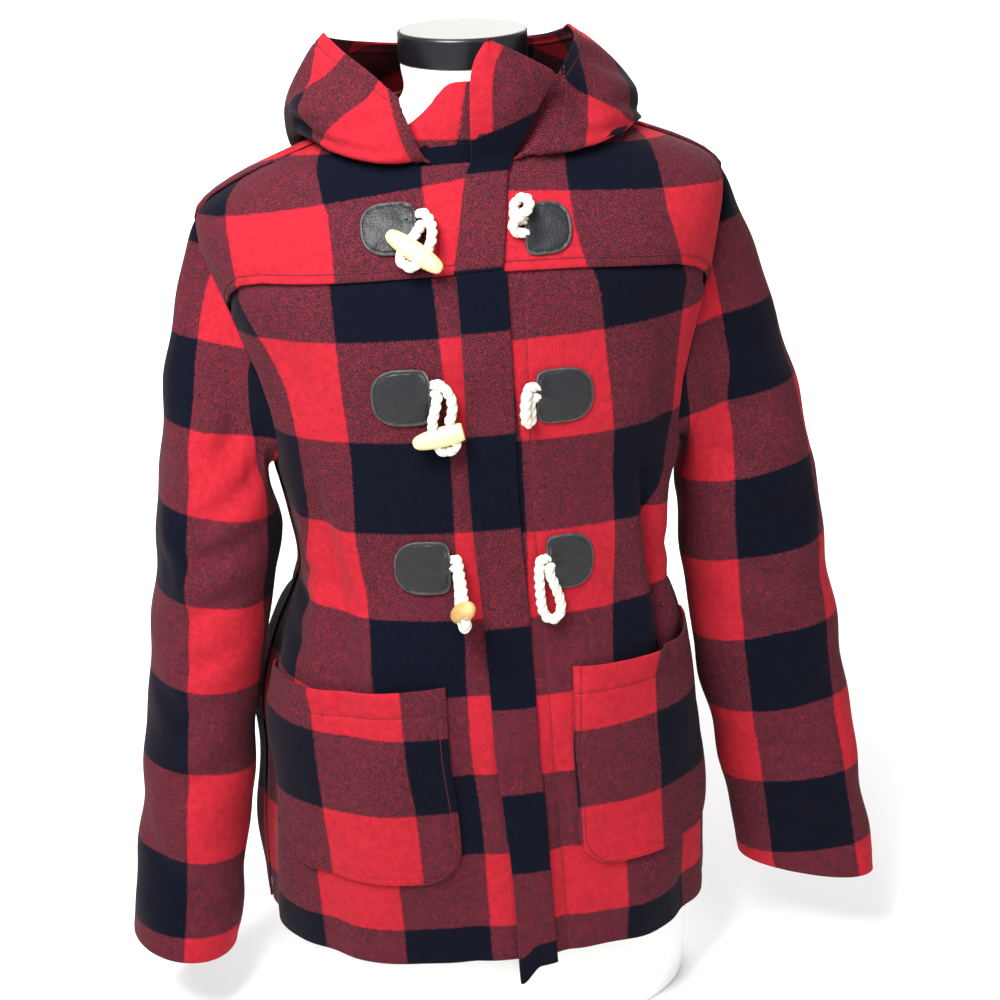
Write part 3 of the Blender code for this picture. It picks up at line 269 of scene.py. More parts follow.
# Folds of each sleeve: tape from the outermost line towards the front, and height, likewise
SLEEVE_FOLDS = {
    -1: ((0.120, 0.560, 0.070, 0.500, 0.013, -0.0040), (0.128, 0.500, 0.062, 0.455, 0.012, -0.0045),
         (0.118, 0.445, 0.040, 0.418, 0.011, -0.0042), (0.110, 0.402, 0.048, 0.375, 0.011, -0.0036),
         (0.028, 0.470, 0.062, 0.398, 0.013, 0.0030), (0.100, 0.350, 0.055, 0.332, 0.010, -0.0028),
         (0.018, 0.330, 0.070, 0.285, 0.012, -0.0026), (0.104, 0.250, 0.050, 0.225, 0.011, -0.0026),
         (0.020, 0.190, 0.060, 0.150, 0.012, -0.0026), (0.096, 0.150, 0.060, 0.118, 0.010, -0.0024),
         (-0.060, 0.470, -0.115, 0.430, 0.013, -0.0045), (-0.040, 0.420, -0.105, 0.395, 0.012, -0.0040),
         (-0.050, 0.365, -0.110, 0.352, 0.011, -0.0036), (-0.040, 0.240, -0.090, 0.215, 0.012, -0.0030)),
    1: ((0.125, 0.545, 0.068, 0.505, 0.013, -0.0042), (0.120, 0.488, 0.055, 0.462, 0.012, -0.0045),
        (0.115, 0.440, 0.035, 0.405, 0.011, -0.0040), (0.020, 0.455, 0.052, 0.380, 0.013, 0.0028),
        (0.108, 0.385, 0.045, 0.362, 0.011, -0.0036), (0.098, 0.330, 0.030, 0.300, 0.011, -0.0028),
        (0.015, 0.290, 0.060, 0.240, 0.012, -0.0024), (0.100, 0.225, 0.052, 0.205, 0.010, -0.0028),
        (0.090, 0.160, 0.035, 0.135, 0.011, -0.0024), (0.020, 0.180, 0.024, 0.100, 0.012, 0.0020),
        (-0.055, 0.480, -0.112, 0.445, 0.013, -0.0045), (-0.045, 0.428, -0.108, 0.400, 0.012, -0.0040),
        (-0.040, 0.372, -0.100, 0.350, 0.011, -0.0034), (-0.050, 0.225, -0.095, 0.205, 0.012, -0.0030)),
}
# Folds of each half of the hood: from station and step (both 0 to 1) to station and step, width, depth
HOOD_FOLDS = {
    -1: ((0.10, 0.30, 0.30, 0.42, 0.05, -0.0030), (0.30, 0.42, 0.42, 0.50, 0.06, -0.0075),
         (0.16, 0.60, 0.34, 0.56, 0.05, 0.0030), (0.24, 0.86, 0.40, 0.62, 0.05, -0.0030),
         (0.05, 0.70, 0.16, 0.40, 0.035, -0.0018), (0.62, 0.80, 0.70, 0.30, 0.06, -0.0050),
         (0.84, 0.85, 0.88, 0.35, 0.05, 0.0040)),
    1: ((0.10, 0.34, 0.30, 0.40, 0.05, -0.0030), (0.28, 0.52, 0.44, 0.44, 0.06, -0.0060),
        (0.06, 0.75, 0.14, 0.42, 0.035, -0.0022), (0.20, 0.88, 0.36, 0.62, 0.05, -0.0028),
        (0.60, 0.82, 0.68, 0.32, 0.06, -0.0050), (0.82, 0.84, 0.88, 0.38, 0.05, 0.0040)),
}


# ---------------------------------------------------------------- curves and the body surface
def bow(s, start, leave, end, arrive):
    """Curve from start to end by the share s, with the slopes that it leaves and arrives with."""
    return ((2 * s**3 - 3 * s**2 + 1) * start + (s**3 - 2 * s**2 + s) * leave
            + (-2 * s**3 + 3 * s**2) * end + (s**3 - s**2) * arrive)


def curve_through(table, x):
    """Smooth curve through a table's rows: the first column goes in, the others come out."""
    t = np.asarray(table, float)
    x = np.asarray(x, float)
    k, v = t[:, 0], t[:, 1:]
    d = np.gradient(v, k, axis=0)
    i = np.clip(np.searchsorted(k, x) - 1, 0, len(k) - 2)
    h = (k[i + 1] - k[i])[..., None]
    s = np.clip((x - k[i]) / (k[i + 1] - k[i]), 0, 1)[..., None]
    return bow(s, v[i], h * d[i], v[i + 1], h * d[i + 1])


def line_through(table, x):
    t = np.asarray(table, float)
    return np.interp(x, t[:, 0], t[:, 1])


def smooth(low, high, x):
    s = np.clip((np.asarray(x, float) - low) / (high - low), 0, 1)
    return s * s * (3 - 2 * s)


def lengths(points, axis=0):
    """Distance along the given axis of a grid of points, from its first point to each."""
    steps = np.cumsum(np.linalg.norm(np.diff(points, axis=axis), axis=-1), axis)
    return np.concatenate([np.zeros_like(np.take(steps, [0], axis)), steps], axis)


def tilt(x, z):
    """How much a point is lifted by the wearer's higher left shoulder."""
    return TILT * x * smooth(0.45, 0.70, z) * smooth(0.785, 0.755, z)


def ring(angle, z, table=JACKET):
    """Point of the outer surface; angle 0 is the middle of the front, positive towards +X."""
    w, front, back, n_front, n_back = np.moveaxis(curve_through(table, z), -1, 0)
    s, c = np.sin(angle), np.cos(angle)
    n = n_back + (n_front - n_back) * smooth(-0.35, 0.35, c)
    x = w * np.sign(s) * np.abs(s) ** (2 / n)
    y = -np.where(c > 0, front, back) * np.sign(c) * np.abs(c) ** (2 / n)
    sway = curve_through(SWAY, z)[..., 0]
    return np.stack([x + sway, y, z + tilt(x, z)], -1)


ANGLES = np.linspace(-math.pi, math.pi, 361)
LEVELS = np.linspace(0.04, 0.775, 148)


def arc_lengths():
    s = lengths(ring(ANGLES[None, :], LEVELS[:, None]), 1)
    return s - s[:, 180:181]


ARCS = arc_lengths()


def level_arcs(z):
    f = min(max((z - LEVELS[0]) / (LEVELS[1] - LEVELS[0]), 0), len(LEVELS) - 1.001)
    k = int(f)
    return ARCS[k] + (f - k) * (ARCS[k + 1] - ARCS[k])


def angle_at(u, z):
    """Angle that a tape laid round the body at height z reaches after u metres from the middle."""
    u, z = np.broadcast_arrays(np.asarray(u, float), np.asarray(z, float))
    angles = [np.interp(a, level_arcs(b), ANGLES) for a, b in zip(u.ravel(), z.ravel())]
    return np.array(angles).reshape(u.shape)


def tape_at(angle, z):
    """The other way round: metres of tape from the middle to that angle."""
    angle, z = np.broadcast_arrays(np.asarray(angle, float), np.asarray(z, float))
    tapes = [np.interp(a, ANGLES, level_arcs(b)) for a, b in zip(angle.ravel(), z.ravel())]
    return np.array(tapes).reshape(angle.shape)


def middle(z):
    return curve_through(MIDDLE, z)[..., 0]


def outward(angle, z):
    """Unit normal of the body surface."""
    e = 1e-3
    across = ring(angle + e, z) - ring(angle - e, z)
    up = ring(angle, z + e) - ring(angle, z - e)
    n = np.cross(across, up)
    return n / np.linalg.norm(n, axis=-1, keepdims=True)


def on_body(u, z, out=0.0):
    """Point u metres round from the middle of the front at height z, moved out of the plain form by out."""
    z = np.asarray(z, float)
    a = angle_at(u, z)
    return ring(a, z) + outward(a, z) * np.asarray(out, float)[..., None]


def off_body(points, gap):
    """Points pushed out to at least gap in front of the body surface."""
    p = np.array(points, float)

    def level(q):
        z = q[:, 2] - tilt(q[:, 0], q[:, 2])
        w, front, back, n_front, n_back = np.moveaxis(curve_through(JACKET, z), -1, 0)
        x, y = q[:, 0] - curve_through(SWAY, z)[:, 0], q[:, 1]
        n = np.where(y < 0, n_front, n_back)
        return (np.abs(x / w) ** n + np.abs(y / np.where(y < 0, front, back)) ** n) ** (1 / n) - 1

    for _ in range(4):
        f = level(p)
        slope = np.stack([(level(p + h) - level(p - h)) / 2e-4 for h in np.eye(3) * 1e-4], 1)
        size = np.linalg.norm(slope, axis=1, keepdims=True)
        short = np.clip(gap - f[:, None] / size, 0, 0.02)
        p += slope / size * np.where(p[:, 2:] < 0.775, short, 0)
    return p


def picked(points, where, at):
    """Points read off a line whose own points lie at the rising numbers in where."""
    return np.stack([np.interp(at, where, points[:, i]) for i in range(points.shape[1])], 1)


def through(points, n):
    """n points along a smooth curve through the given ones, evenly spaced."""
    p = np.asarray(points, float)
    k = lengths(p)
    table = np.concatenate([k[:, None], p], 1)
    fine = curve_through(table, np.linspace(0, k[-1], 400))
    s = lengths(fine)
    return picked(fine, s, np.linspace(0, s[-1], n))


# ---------------------------------------------------------------- folds and stitch lines
def folds(table, a, b):
    """Height of the folds at (a, b): each row is a soft trough or ridge along a line, fading at its ends."""
    total = np.zeros(np.broadcast(a, b).shape)
    for a0, b0, a1, b1, width, depth in table:
        da, db = a1 - a0, b1 - b0
        length2 = da * da + db * db
        t = ((a - a0) * da + (b - b0) * db) / length2
        off = np.hypot(a - a0 - np.clip(t, 0, 1) * da, b - b0 - np.clip(t, 0, 1) * db)
        fade = np.sin(math.pi * np.clip(0.12 + 0.76 * t, 0.12, 0.88)) ** 0.8
        total += DEEPER * depth * fade * np.exp(-((off / width) ** 2))
    return total


def body_relief(u, z):
    """How far the hanging cloth stands off its plain form. It lies flat under the leather and ropes."""
    a = angle_at(u, z)
    waves = 0.0010 * np.sin(3 * a + 46 * z) + 0.0007 * np.sin(5 * a - 61 * z + 1.0)
    waves += 0.0012 * np.sin(9 * a + 1.3) * smooth(0.30, 0.09, z)
    flat = np.ones(np.shape(a))
    for pu, pz, _w, _h in PATCHES.values():
        flat *= 1 - np.exp(-(((u - pu * 0.82) / 0.045) ** 2 + ((z - pz + 0.006) / 0.045) ** 2))
    return (folds(BODY_FOLDS, u, z) + waves) * flat * smooth(0.735, 0.70, z)


def on_cloth(u, z, out=0.0):
    """Like on_body, over the folds."""
    return on_body(u, z, np.asarray(out, float) + body_relief(u, z))


def groove(distance, at, depth=0.0007, width=0.0010):
    """The dent that a row of stitches pulls into thick wool, at that distance from an edge."""
    return -depth * np.exp(-(((distance - at) / width) ** 2))


AT_EDGE = (0.0, 0.0009, 0.002, 0.0035)              # grid lines from a free edge inwards
AT_STITCH = (-0.0016, -0.0008, 0.0, 0.0008, 0.0016)  # grid lines about a row of stitches


def stations(length, step, stitches=(), far_stitches=()):
    """Distances along a panel: closer together at both edges and at its rows of stitches."""
    places = list(AT_EDGE) + [length - d for d in AT_EDGE]
    for at in stitches:
        places += [at + d for d in AT_STITCH]
    for at in far_stitches:
        places += [length - at + d for d in AT_STITCH]
    inner = list(np.linspace(0.004, length - 0.004, max(int(length / step), 2)))
    keep = sorted(places)
    inner = [d for d in inner if min(abs(d - p) for p in keep) > 0.3 * step]
    return np.array(sorted(p for p in set(keep + inner) if 0 <= p <= length))


# ---------------------------------------------------------------- meshes
def collection():
    name = "jacket"
    made = bpy.data.collections.get(name)
    if made is None:
        made = bpy.data.collections.new(name)
        bpy.context.scene.collection.children.link(made)
    return made


def make_mesh(name, points, faces, uv=None):
    """Object of the given points and faces, with its check or grain as a UV map by point."""
    mesh = bpy.data.meshes.new(name)
    mesh.from_pydata(np.asarray(points).tolist(), [], [tuple(int(i) for i in f) for f in faces])
    if uv is not None:
        layer = mesh.uv_layers.new(name="lay")
        corner = np.zeros(len(mesh.loops), int)
        mesh.loops.foreach_get("vertex_index", corner)
        layer.data.foreach_set("uv", np.asarray(uv, float)[corner].ravel())
    mesh.shade_smooth()
    obj = bpy.data.objects.new(name, mesh)
    collection().objects.link(obj)
    return obj


def grid_faces(rows, cols, closed, offset=0, flip=False):
    """Faces between the points of a grid; closed joins its last column to its first."""
    r, c = np.meshgrid(np.arange(rows - 1), np.arange(cols if closed else cols - 1), indexing="ij")
    r, c = r.ravel(), c.ravel()
    d = (c + 1) % cols
    faces = np.stack([r * cols + c, r * cols + d, (r + 1) * cols + d, (r + 1) * cols + c], 1) + offset
    return faces[:, ::-1] if flip else faces


def unit(v):
    return v / np.maximum(np.linalg.norm(v, axis=-1, keepdims=True), 1e-9)


def grid_normals(p, closed, flip):
    if closed:
        across = np.roll(p, -1, 1) - np.roll(p, 1, 1)
    else:
        across = np.gradient(p, axis=1)
    n = np.cross(across, np.gradient(p, axis=0))
    n /= np.maximum(np.linalg.norm(n, axis=-1, keepdims=True), 1e-12)
    return -n if flip else n


SEWN = []                 # rows of stitches on the wool, as lines of points, for the stitches operator


def shell(name, outer, uv, closed=False, flip=False, lining=(0.0, 0.0), sewn_rows=(), sewn_columns=()):
    """Cloth of one wall: outer face, inner face, and a round turned edge along every free side.
"""
    rows, cols = outer.shape[:2]
    n = grid_normals(outer, closed, flip)
    thread = outer + n * 0.0001
    SEWN.extend(thread[k] for k in sewn_rows)
    SEWN.extend(thread[:, k] for k in sewn_columns)
    inner = outer - n * CLOTH
    count = rows * cols
    points = [outer.reshape(-1, 3), inner.reshape(-1, 3)]
    lays = [uv.reshape(-1, 2), (uv + np.array(lining)).reshape(-1, 2)]
    faces = [grid_faces(rows, cols, closed, 0, flip), grid_faces(rows, cols, closed, count, not flip)]
    index = np.arange(count).reshape(rows, cols)
    if closed:
        loops = [(index[0], outer[0] - outer[1], False), (index[-1], outer[-1] - outer[-2], True)]
    else:
        edge = np.concatenate([index[0, :-1], index[:-1, -1], index[-1, :0:-1], index[:0:-1, 0]])
        away = np.zeros((rows, cols, 3))
        for side, beside in ((0, 1), (-1, -2)):
            away[side] += unit(outer[side] - outer[beside])
            away[:, side] += unit(outer[:, side] - outer[:, beside])
        loops = [(edge, away.reshape(-1, 3)[edge], False)]
    total = 2 * count
    for edge, away, last in loops:
        normal = n.reshape(-1, 3)[edge]
        away = away - normal * (away * normal).sum(1, keepdims=True)
        away /= np.maximum(np.linalg.norm(away, axis=1, keepdims=True), 1e-12)
        start = outer.reshape(-1, 3)[edge]
        size = len(edge)
        chain = [edge]
        for turn in (45, 90, 135):
            t = math.radians(turn)
            points.append(start - normal * CLOTH / 2 * (1 - math.cos(t)) + away * CLOTH / 2 * math.sin(t))
            lays.append(uv.reshape(-1, 2)[edge])
            chain.append(total + np.arange(size))
            total += size
        chain.append(edge + count)
        for a, b in zip(chain[:-1], chain[1:]):
            a2, b2 = np.roll(a, -1), np.roll(b, -1)
            strip = np.stack([a, b, b2, a2], 1)
            if flip != last:
                strip = strip[:, ::-1]
            faces.append(strip)
    return make_mesh(name, np.concatenate(points), np.concatenate(faces), np.concatenate(lays))


def finish_piece(obj, material, *nodes, slot=None):
    """Gives a finished piece its material and its body, and hides the solids that it stands for."""
    obj.data.materials.clear()
    obj.data.materials.append(material)
    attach(obj, "root")
    if nodes:
        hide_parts(*nodes)
    return obj


def cloth(node, material, grid, lay, **how):
    """A finished piece of wool that stands for the solid of that name."""
    obj = shell("wool_" + node, np.array(grid), np.array(lay), **how)
    return finish_piece(obj, material, node, slot="check_wool")


# ---------------------------------------------------------------- where the check falls on each piece
def rows_at(heights, z):
    """Check rows counted down from the first edge: 0 to 1 is the first red row, 1 to 2 the black one."""
    h = np.asarray(heights, float)
    down = np.interp(-np.asarray(z, float), -h, np.arange(len(h)))
    return down - np.maximum(z - h[0], 0) / CHECK + np.maximum(h[-1] - z, 0) / CHECK


def columns_at(side, u, z):
    """Number of check columns from the flap outwards: 0 to 1 is red, 1 to 2 black."""
    table = np.array(COLUMNS[side])
    first, second, third = (np.interp(z, table[:, 0], table[:, k]) for k in (1, 2, 3))
    u = np.abs(u)
    lay = 1 + (u - first) / CHECK
    lay = np.where(u > first, 1 + (u - first) / (second - first), lay)
    lay = np.where(u > second, 2 + (u - second) / (third - second), lay)
    return np.where(u > third, 3 + (u - third) / CHECK, lay)


def front_lay(side, u, z):
    return np.stack([columns_at(side, u, z), rows_at(ROWS["front_" + SIDE[side]], z)], -1)


def yoke_lay(side, u, z):
    """The yoke's red row hangs between its edge and this line, which climbs a little towards the neck."""
    line = 0.7101 + (0.1126 - np.abs(u)) * 0.09 if side > 0 else 0.7161 + (0.134 - np.abs(u)) * 0.10
    above = np.maximum(z - line, 0) / 0.0300
    below = np.maximum(line - z, 0) / 0.0660
    return np.stack([columns_at(side, u, z), below - above], -1)


def flap_lay(x, height, rows):
    height = np.broadcast_to(height, np.shape(x))
    return np.stack([1.5 + x / CHECK, rows_at(rows, height)], -1)


# ---------------------------------------------------------------- cloth pieces
EDGE = CLOTH / 2 + 0.00025        # from a seam line to where the wall's round edge starts


def hem_roll(z):
    """The turned-up hem stands a little out."""
    return 0.0006 * np.exp(-(((z - HEM_Z - 0.012) / 0.010) ** 2))


def front_panel(side, material):
    """Front from the hem to just above the yoke's edge, where it runs in behind the yoke."""
    corner = YOKE[side][-1][1]
    heights = HEM_Z + EDGE + stations(corner + 0.008 - HEM_Z - 2 * EDGE, 0.0052)
    fixed = 0.050             # the grid's columns keep their distance from the opening up to here
    stitch = [FLAP_HALF[1] + 0.0125 - EDGE] if side > 0 else []
    inside = [d for d in stations(0.2, 0.004, stitch) if d < fixed]
    edge = np.array([0.0085, 0.006, *AT_EDGE[::-1]])
    grid, lay = [], []
    for height in heights:
        a_edge = float(np.radians(line_through(ARMHOLE[side], height)))
        a_edge = a_edge if height > UNDERARM_Z else math.pi / 2
        behind = 0.004 * float(smooth(corner - 0.004, corner + 0.006, height))
        reach = float(tape_at(a_edge, height)) - EDGE - behind
        start = side * float(middle(height)) + EDGE
        length = reach - start
        d = np.concatenate([inside, np.linspace(fixed, length - 0.012, 44), length - edge])
        u = start + d
        a = angle_at(side * u, height)
        over = line_through(YOKE[side], np.degrees(np.abs(a)))
        z = height + smooth(0.46, corner, height) * (over - corner)
        tuck = (CLOTH + 0.0008) * smooth(-0.0080, -0.0015, z - over)
        relief = body_relief(side * u, z) * smooth(0.0, -0.02, z - over) * smooth(0.0, 0.02, length - d)
        if side > 0:
            relief = relief + groove(d, stitch[0])
        grid.append(ring(a, z) + outward(a, z) * (relief - tuck + hem_roll(height))[:, None])
        lay.append(front_lay(side, side * u, z))
    sewn = [int(np.argmin(np.abs(np.array(inside) - at))) for at in stitch]
    return cloth("front_" + SIDE[side], material, grid, lay, flip=side < 0, sewn_columns=sewn)


YOKE_STITCH = {-1: 0.0060, 1: 0.0065}   # row of stitches over the yoke's lower edge


def yoke_panel(side, material):
    """Front yoke: from its lower edge, and beyond the corner from the armhole, up to the neckline."""
    corner, corner_z = YOKE[side][-1]
    arm = np.array([row for row in ARMHOLE[side] if row[0] >= corner_z - 1e-6], float)
    at = YOKE_STITCH[side]
    low_part = np.array([*AT_EDGE, *(at + d for d in AT_STITCH), 0.011])
    grid, lay = [], []
    for d in np.concatenate([np.linspace(0, corner, 64), np.linspace(corner, 90, 15)[1:]]):
        sewn = d <= corner
        low = line_through(YOKE[side], d) if sewn else float(np.interp(d, arm[:, 1], arm[:, 0]))
        length = float(line_through(NECKLINE, d)) - low - 2 * EDGE
        part = low_part if length > 0.03 else low_part * length / 0.03
        upper = np.linspace(part[-1] + 0.12 * length, length - 0.003, 22)
        height = np.sort(np.concatenate([part, upper, [length - 0.001, length]]))
        z = low + EDGE + height
        u = np.maximum(tape_at(math.radians(d), z), side * middle(z) + EDGE)
        u = np.minimum(u, tape_at(math.pi / 2, z) - EDGE)
        if not sewn:
            u = np.minimum(u, tape_at(math.radians(d), z))
        fold = groove(height + EDGE, at) + 0.0005 * np.exp(-(((height - 0.003) / 0.003) ** 2))
        grid.append(on_body(side * u, z, body_relief(side * u, z) + fold * sewn))
        lay.append(yoke_lay(side, side * u, z))
    points, lay = (np.array(rows).transpose(1, 0, 2) for rows in (grid, lay))
    return cloth("yoke_" + SIDE[side], material, points, lay, flip=side < 0, sewn_rows=[6])


def back_panel(material):
    heights = HEM_Z + EDGE + stations(NECK_BACK_Z - HEM_Z - 2 * EDGE, 0.0060)
    share = np.sin(np.linspace(-1, 1, 110) * 0.5 * math.pi * 0.72) / math.sin(0.5 * math.pi * 0.72)
    grid, lay = [], []
    for z in heights:
        a = math.radians(line_through(ARMHOLE_BACK, z)) if UNDERARM_Z < z < SHOULDER_Z else math.pi / 2
        half = float(tape_at(math.pi, z))
        reach = half - float(tape_at(a, z)) - EDGE
        across = -reach * share
        u = half + across
        u = np.where(u > half, u - 2 * half, u)
        level = np.full(u.shape, z)
        relief = body_relief(u, level) * smooth(0.0, 0.02, reach + EDGE - np.abs(across))
        grid.append(on_body(u, level, relief + hem_roll(z)))
        rows = rows_at((0.752, 0.685, *ROWS["front_right"]), level) - 2
        lay.append(np.stack([0.5 + across / CHECK, rows], -1))
    return cloth("back", material, grid, lay)


def armhole_loop(side, parts):
    """The armhole seam, from the shoulder down the front and up the back, just inside the hole."""
    rows = np.array(ARMHOLE[side][::-1] + ARMHOLE_BACK[1:-1], float)
    share = (np.arange(parts) / parts)[:, None]
    fine = np.concatenate([a + share * (b - a) for a, b in zip(rows, np.roll(rows, -1, 0))])
    z, a = fine[:, 0], np.radians(fine[:, 1])
    loop = ring(side * a, z)
    inward = loop.mean(0) - loop
    inward /= np.linalg.norm(inward, axis=1, keepdims=True)
    return loop + inward * EDGE + outward(side * a, z) * 0.0004, inward


def sleeve_sections(side, heights, phi):
    """Rings of the sleeve, square to the arm, at these heights; they stay clear of the body."""
    table = np.array(SLEEVE[side], float)[::-1]
    rows = []
    for z in heights:
        x, fwd, a, b, turn = curve_through(table, z)
        x0, f0 = curve_through(table, z - 0.01)[:2]
        x1, f1 = curve_through(table, z + 0.01)[:2]
        d = np.array([side * (x0 - x1), -(f0 - f1), -0.02])
        d /= np.linalg.norm(d)
        e2 = np.array([0, -1.0, 0]) - d * -d[1]
        e2 /= np.linalg.norm(e2)
        e1 = np.cross(e2, d) * side
        t = math.radians(turn)
        c, s = a * np.cos(phi), b * np.sin(phi)
        row = (np.array([side * x, -fwd, z]) + np.outer(c * math.cos(t) - s * math.sin(t), e1)
               + np.outer(c * math.sin(t) + s * math.cos(t), e2))
        row[:, 2] += CUFF_TILT[side] * (side * row[:, 0] - x) * smooth(0.30, 0.08, z)
        rows.append(off_body(row, 0.0012 + LAP))
    return rows


# Edges of the check's columns on each sleeve: height, tape from the outermost line towards the front
SLEEVE_COLUMNS = {
    -1: ((0.133, 0.0707, 0.1447), (0.222, 0.0660, 0.1400), (0.294, 0.0655, 0.1395), (0.396, 0.0593, 0.1333),
         (0.494, 0.0557, 0.1297), (0.570, 0.0509, 0.1250), (0.620, 0.0480, 0.1220)),
    1: ((0.111, 0.0228, 0.0964), (0.180, 0.0240, 0.0969), (0.240, 0.0258, 0.0995), (0.350, 0.0255, 0.1035),
        (0.465, 0.0295, 0.1109), (0.530, 0.0288, 0.1040), (0.600, 0.0150, 0.0900), (0.650, 0.0060, 0.0800)),
}


def sleeve(side, material):
    """Tube from the armhole seam over the sleeve head and down to the open cuff."""
    loop, inward = armhole_loop(side, 5)
    phi = np.linspace(0, 2 * math.pi, len(loop), endpoint=False)
    table = SLEEVE[side]
    first = sleeve_sections(side, [table[0][0]], phi)[0]
    second = sleeve_sections(side, [table[0][0] - 0.01], phi)[0]
    down = (second - first) / np.linalg.norm(second - first, axis=1, keepdims=True)
    over = (1 + np.cos(phi[:, None])) / 2
    leave = inward * 0.35 + np.array([side * 1.0, 0, 0]) * (0.50 + 0.1 * over)
    leave = leave + np.array([0, 0, -1.0]) * (0.25 + 0.45 * over)
    leave /= np.linalg.norm(leave, axis=1, keepdims=True)
    reach = np.linalg.norm(first - loop, axis=1)[:, None]
    grid = []
    for t in (0, 0.006, 0.014, 0.025, 0.04, *np.linspace(0.06, 1, 40, endpoint=False)):
        row = bow(t, loop, leave * reach * 0.8, first, down * reach * 1.1)
        grid.append(off_body(row, min(0.03 * t, 0.0012 + LAP)) if t > 0 else row)
    heads = len(grid)
    cuff = table[-1][0]
    heights = np.concatenate([np.linspace(table[0][0], cuff + 0.006, 74), cuff + np.array(AT_EDGE[::-1])])
    grid = np.array(grid + sleeve_sections(side, heights, phi))
    step = np.linalg.norm(np.roll(grid, -1, 1) - grid, axis=-1)
    tape = np.concatenate([np.zeros((len(grid), 1)), np.cumsum(step, 1)[:, :-1]], 1)
    round_ = step.sum(1, keepdims=True)
    across = np.where(phi[None, :] > math.pi, tape - round_, tape)
    z = grid[..., 2]
    head = np.concatenate([np.linspace(0, 1, heads), np.ones(len(grid) - heads)])[:, None]
    waves = 0.0010 * np.sin(60 * z + 3 * phi + side) + 0.0008 * np.sin(95 * z - 2 * phi + 2 * side)
    relief = (folds(SLEEVE_FOLDS[side], across, z) + waves) * smooth(0.05, 0.35, head)
    relief += 0.0012 * np.exp(-(((head - 0.10) / 0.06) ** 2)) * (1 + np.cos(phi)) / 2
    relief += 0.0005 * np.exp(-(((z - cuff - 0.012) / 0.008) ** 2))
    grid = grid + grid_normals(grid, True, side < 0) * relief[..., None]
    centre = np.interp(z, *np.array([(row[0], row[1]) for row in table[::-1]]).T)
    level = z - 0.14 * (side * grid[..., 0] - centre)
    edges = np.array(SLEEVE_COLUMNS[side])
    outer_edge, inner_edge = (np.interp(z, edges[:, 0], edges[:, k]) for k in (1, 2))
    columns = (across - outer_edge) / (inner_edge - outer_edge) + (1 if side > 0 else 0)
    node = "sleeve_" + SIDE[side]
    lay = np.stack([columns, rows_at(ROWS[node], level)], -1)
    return cloth(node, material, grid, lay, closed=True, flip=side < 0)


def polar(degrees, reach, z):
    a = math.radians(degrees)
    return np.array([reach * math.sin(a), -reach * math.cos(a), z])


def neck_ring(degrees, z):
    """Point of the body surface that lies the given degrees round the neck from the front."""
    w, front, back = curve_through(JACKET, z)[:3]
    a = math.radians(degrees)
    depth = front if math.cos(a) > 0 else back
    return ring(math.atan2(math.sin(a) * depth, math.cos(a) * w), z)


def hood_column(side, table, degrees, coarse=13):
    """The hood's line from its neck seam over its belly to the rim, at this turn round the neck."""
    rest_z, belly_r, belly_z, side_r, side_z, rim, rim_r, rim_z = curve_through(table, degrees)
    turn = rim - degrees
    a = math.radians(degrees)
    round_neck = math.degrees(math.atan2(0.55 * math.sin(a), math.cos(a)))
    seam = neck_ring(side * degrees, line_through(NECKLINE, min(round_neck, 90)))
    rest = neck_ring(side * degrees, rest_z)
    belly = polar(side * (degrees + 0.2 * turn), belly_r, belly_z)
    rest = rest + (0.5 * (seam + belly) - rest) * smooth(55, 30, degrees)
    p = through([seam, rest, belly, polar(side * (degrees + 0.55 * turn), side_r, side_z),
                 polar(side * rim, rim_r, rim_z)], coarse)
    for _ in range(2):
        p[1:-1] = (p[:-2] + 2 * p[1:-1] + p[2:]) / 4
    return off_body(p, 0.0034 + 0.0014 * np.minimum(np.arange(coarse), 2)[:, None] / 2)


HOOD_HEM = 0.0095         # row of stitches round the hood's opening


def tuck_in(column, side, share):
    """The front edge of a half of the hood, turned in behind the lapel."""
    turn = np.arctan2(column[:, 0], -column[:, 1]) - side * math.radians(14) * share
    reach = np.hypot(column[:, 0], column[:, 1])
    reach += (np.minimum(reach, 0.0600) - reach) * smooth(0, 0.8, share)
    return np.stack([reach * np.sin(turn), -reach * np.cos(turn), column[:, 2] - 0.006 * share], 1)


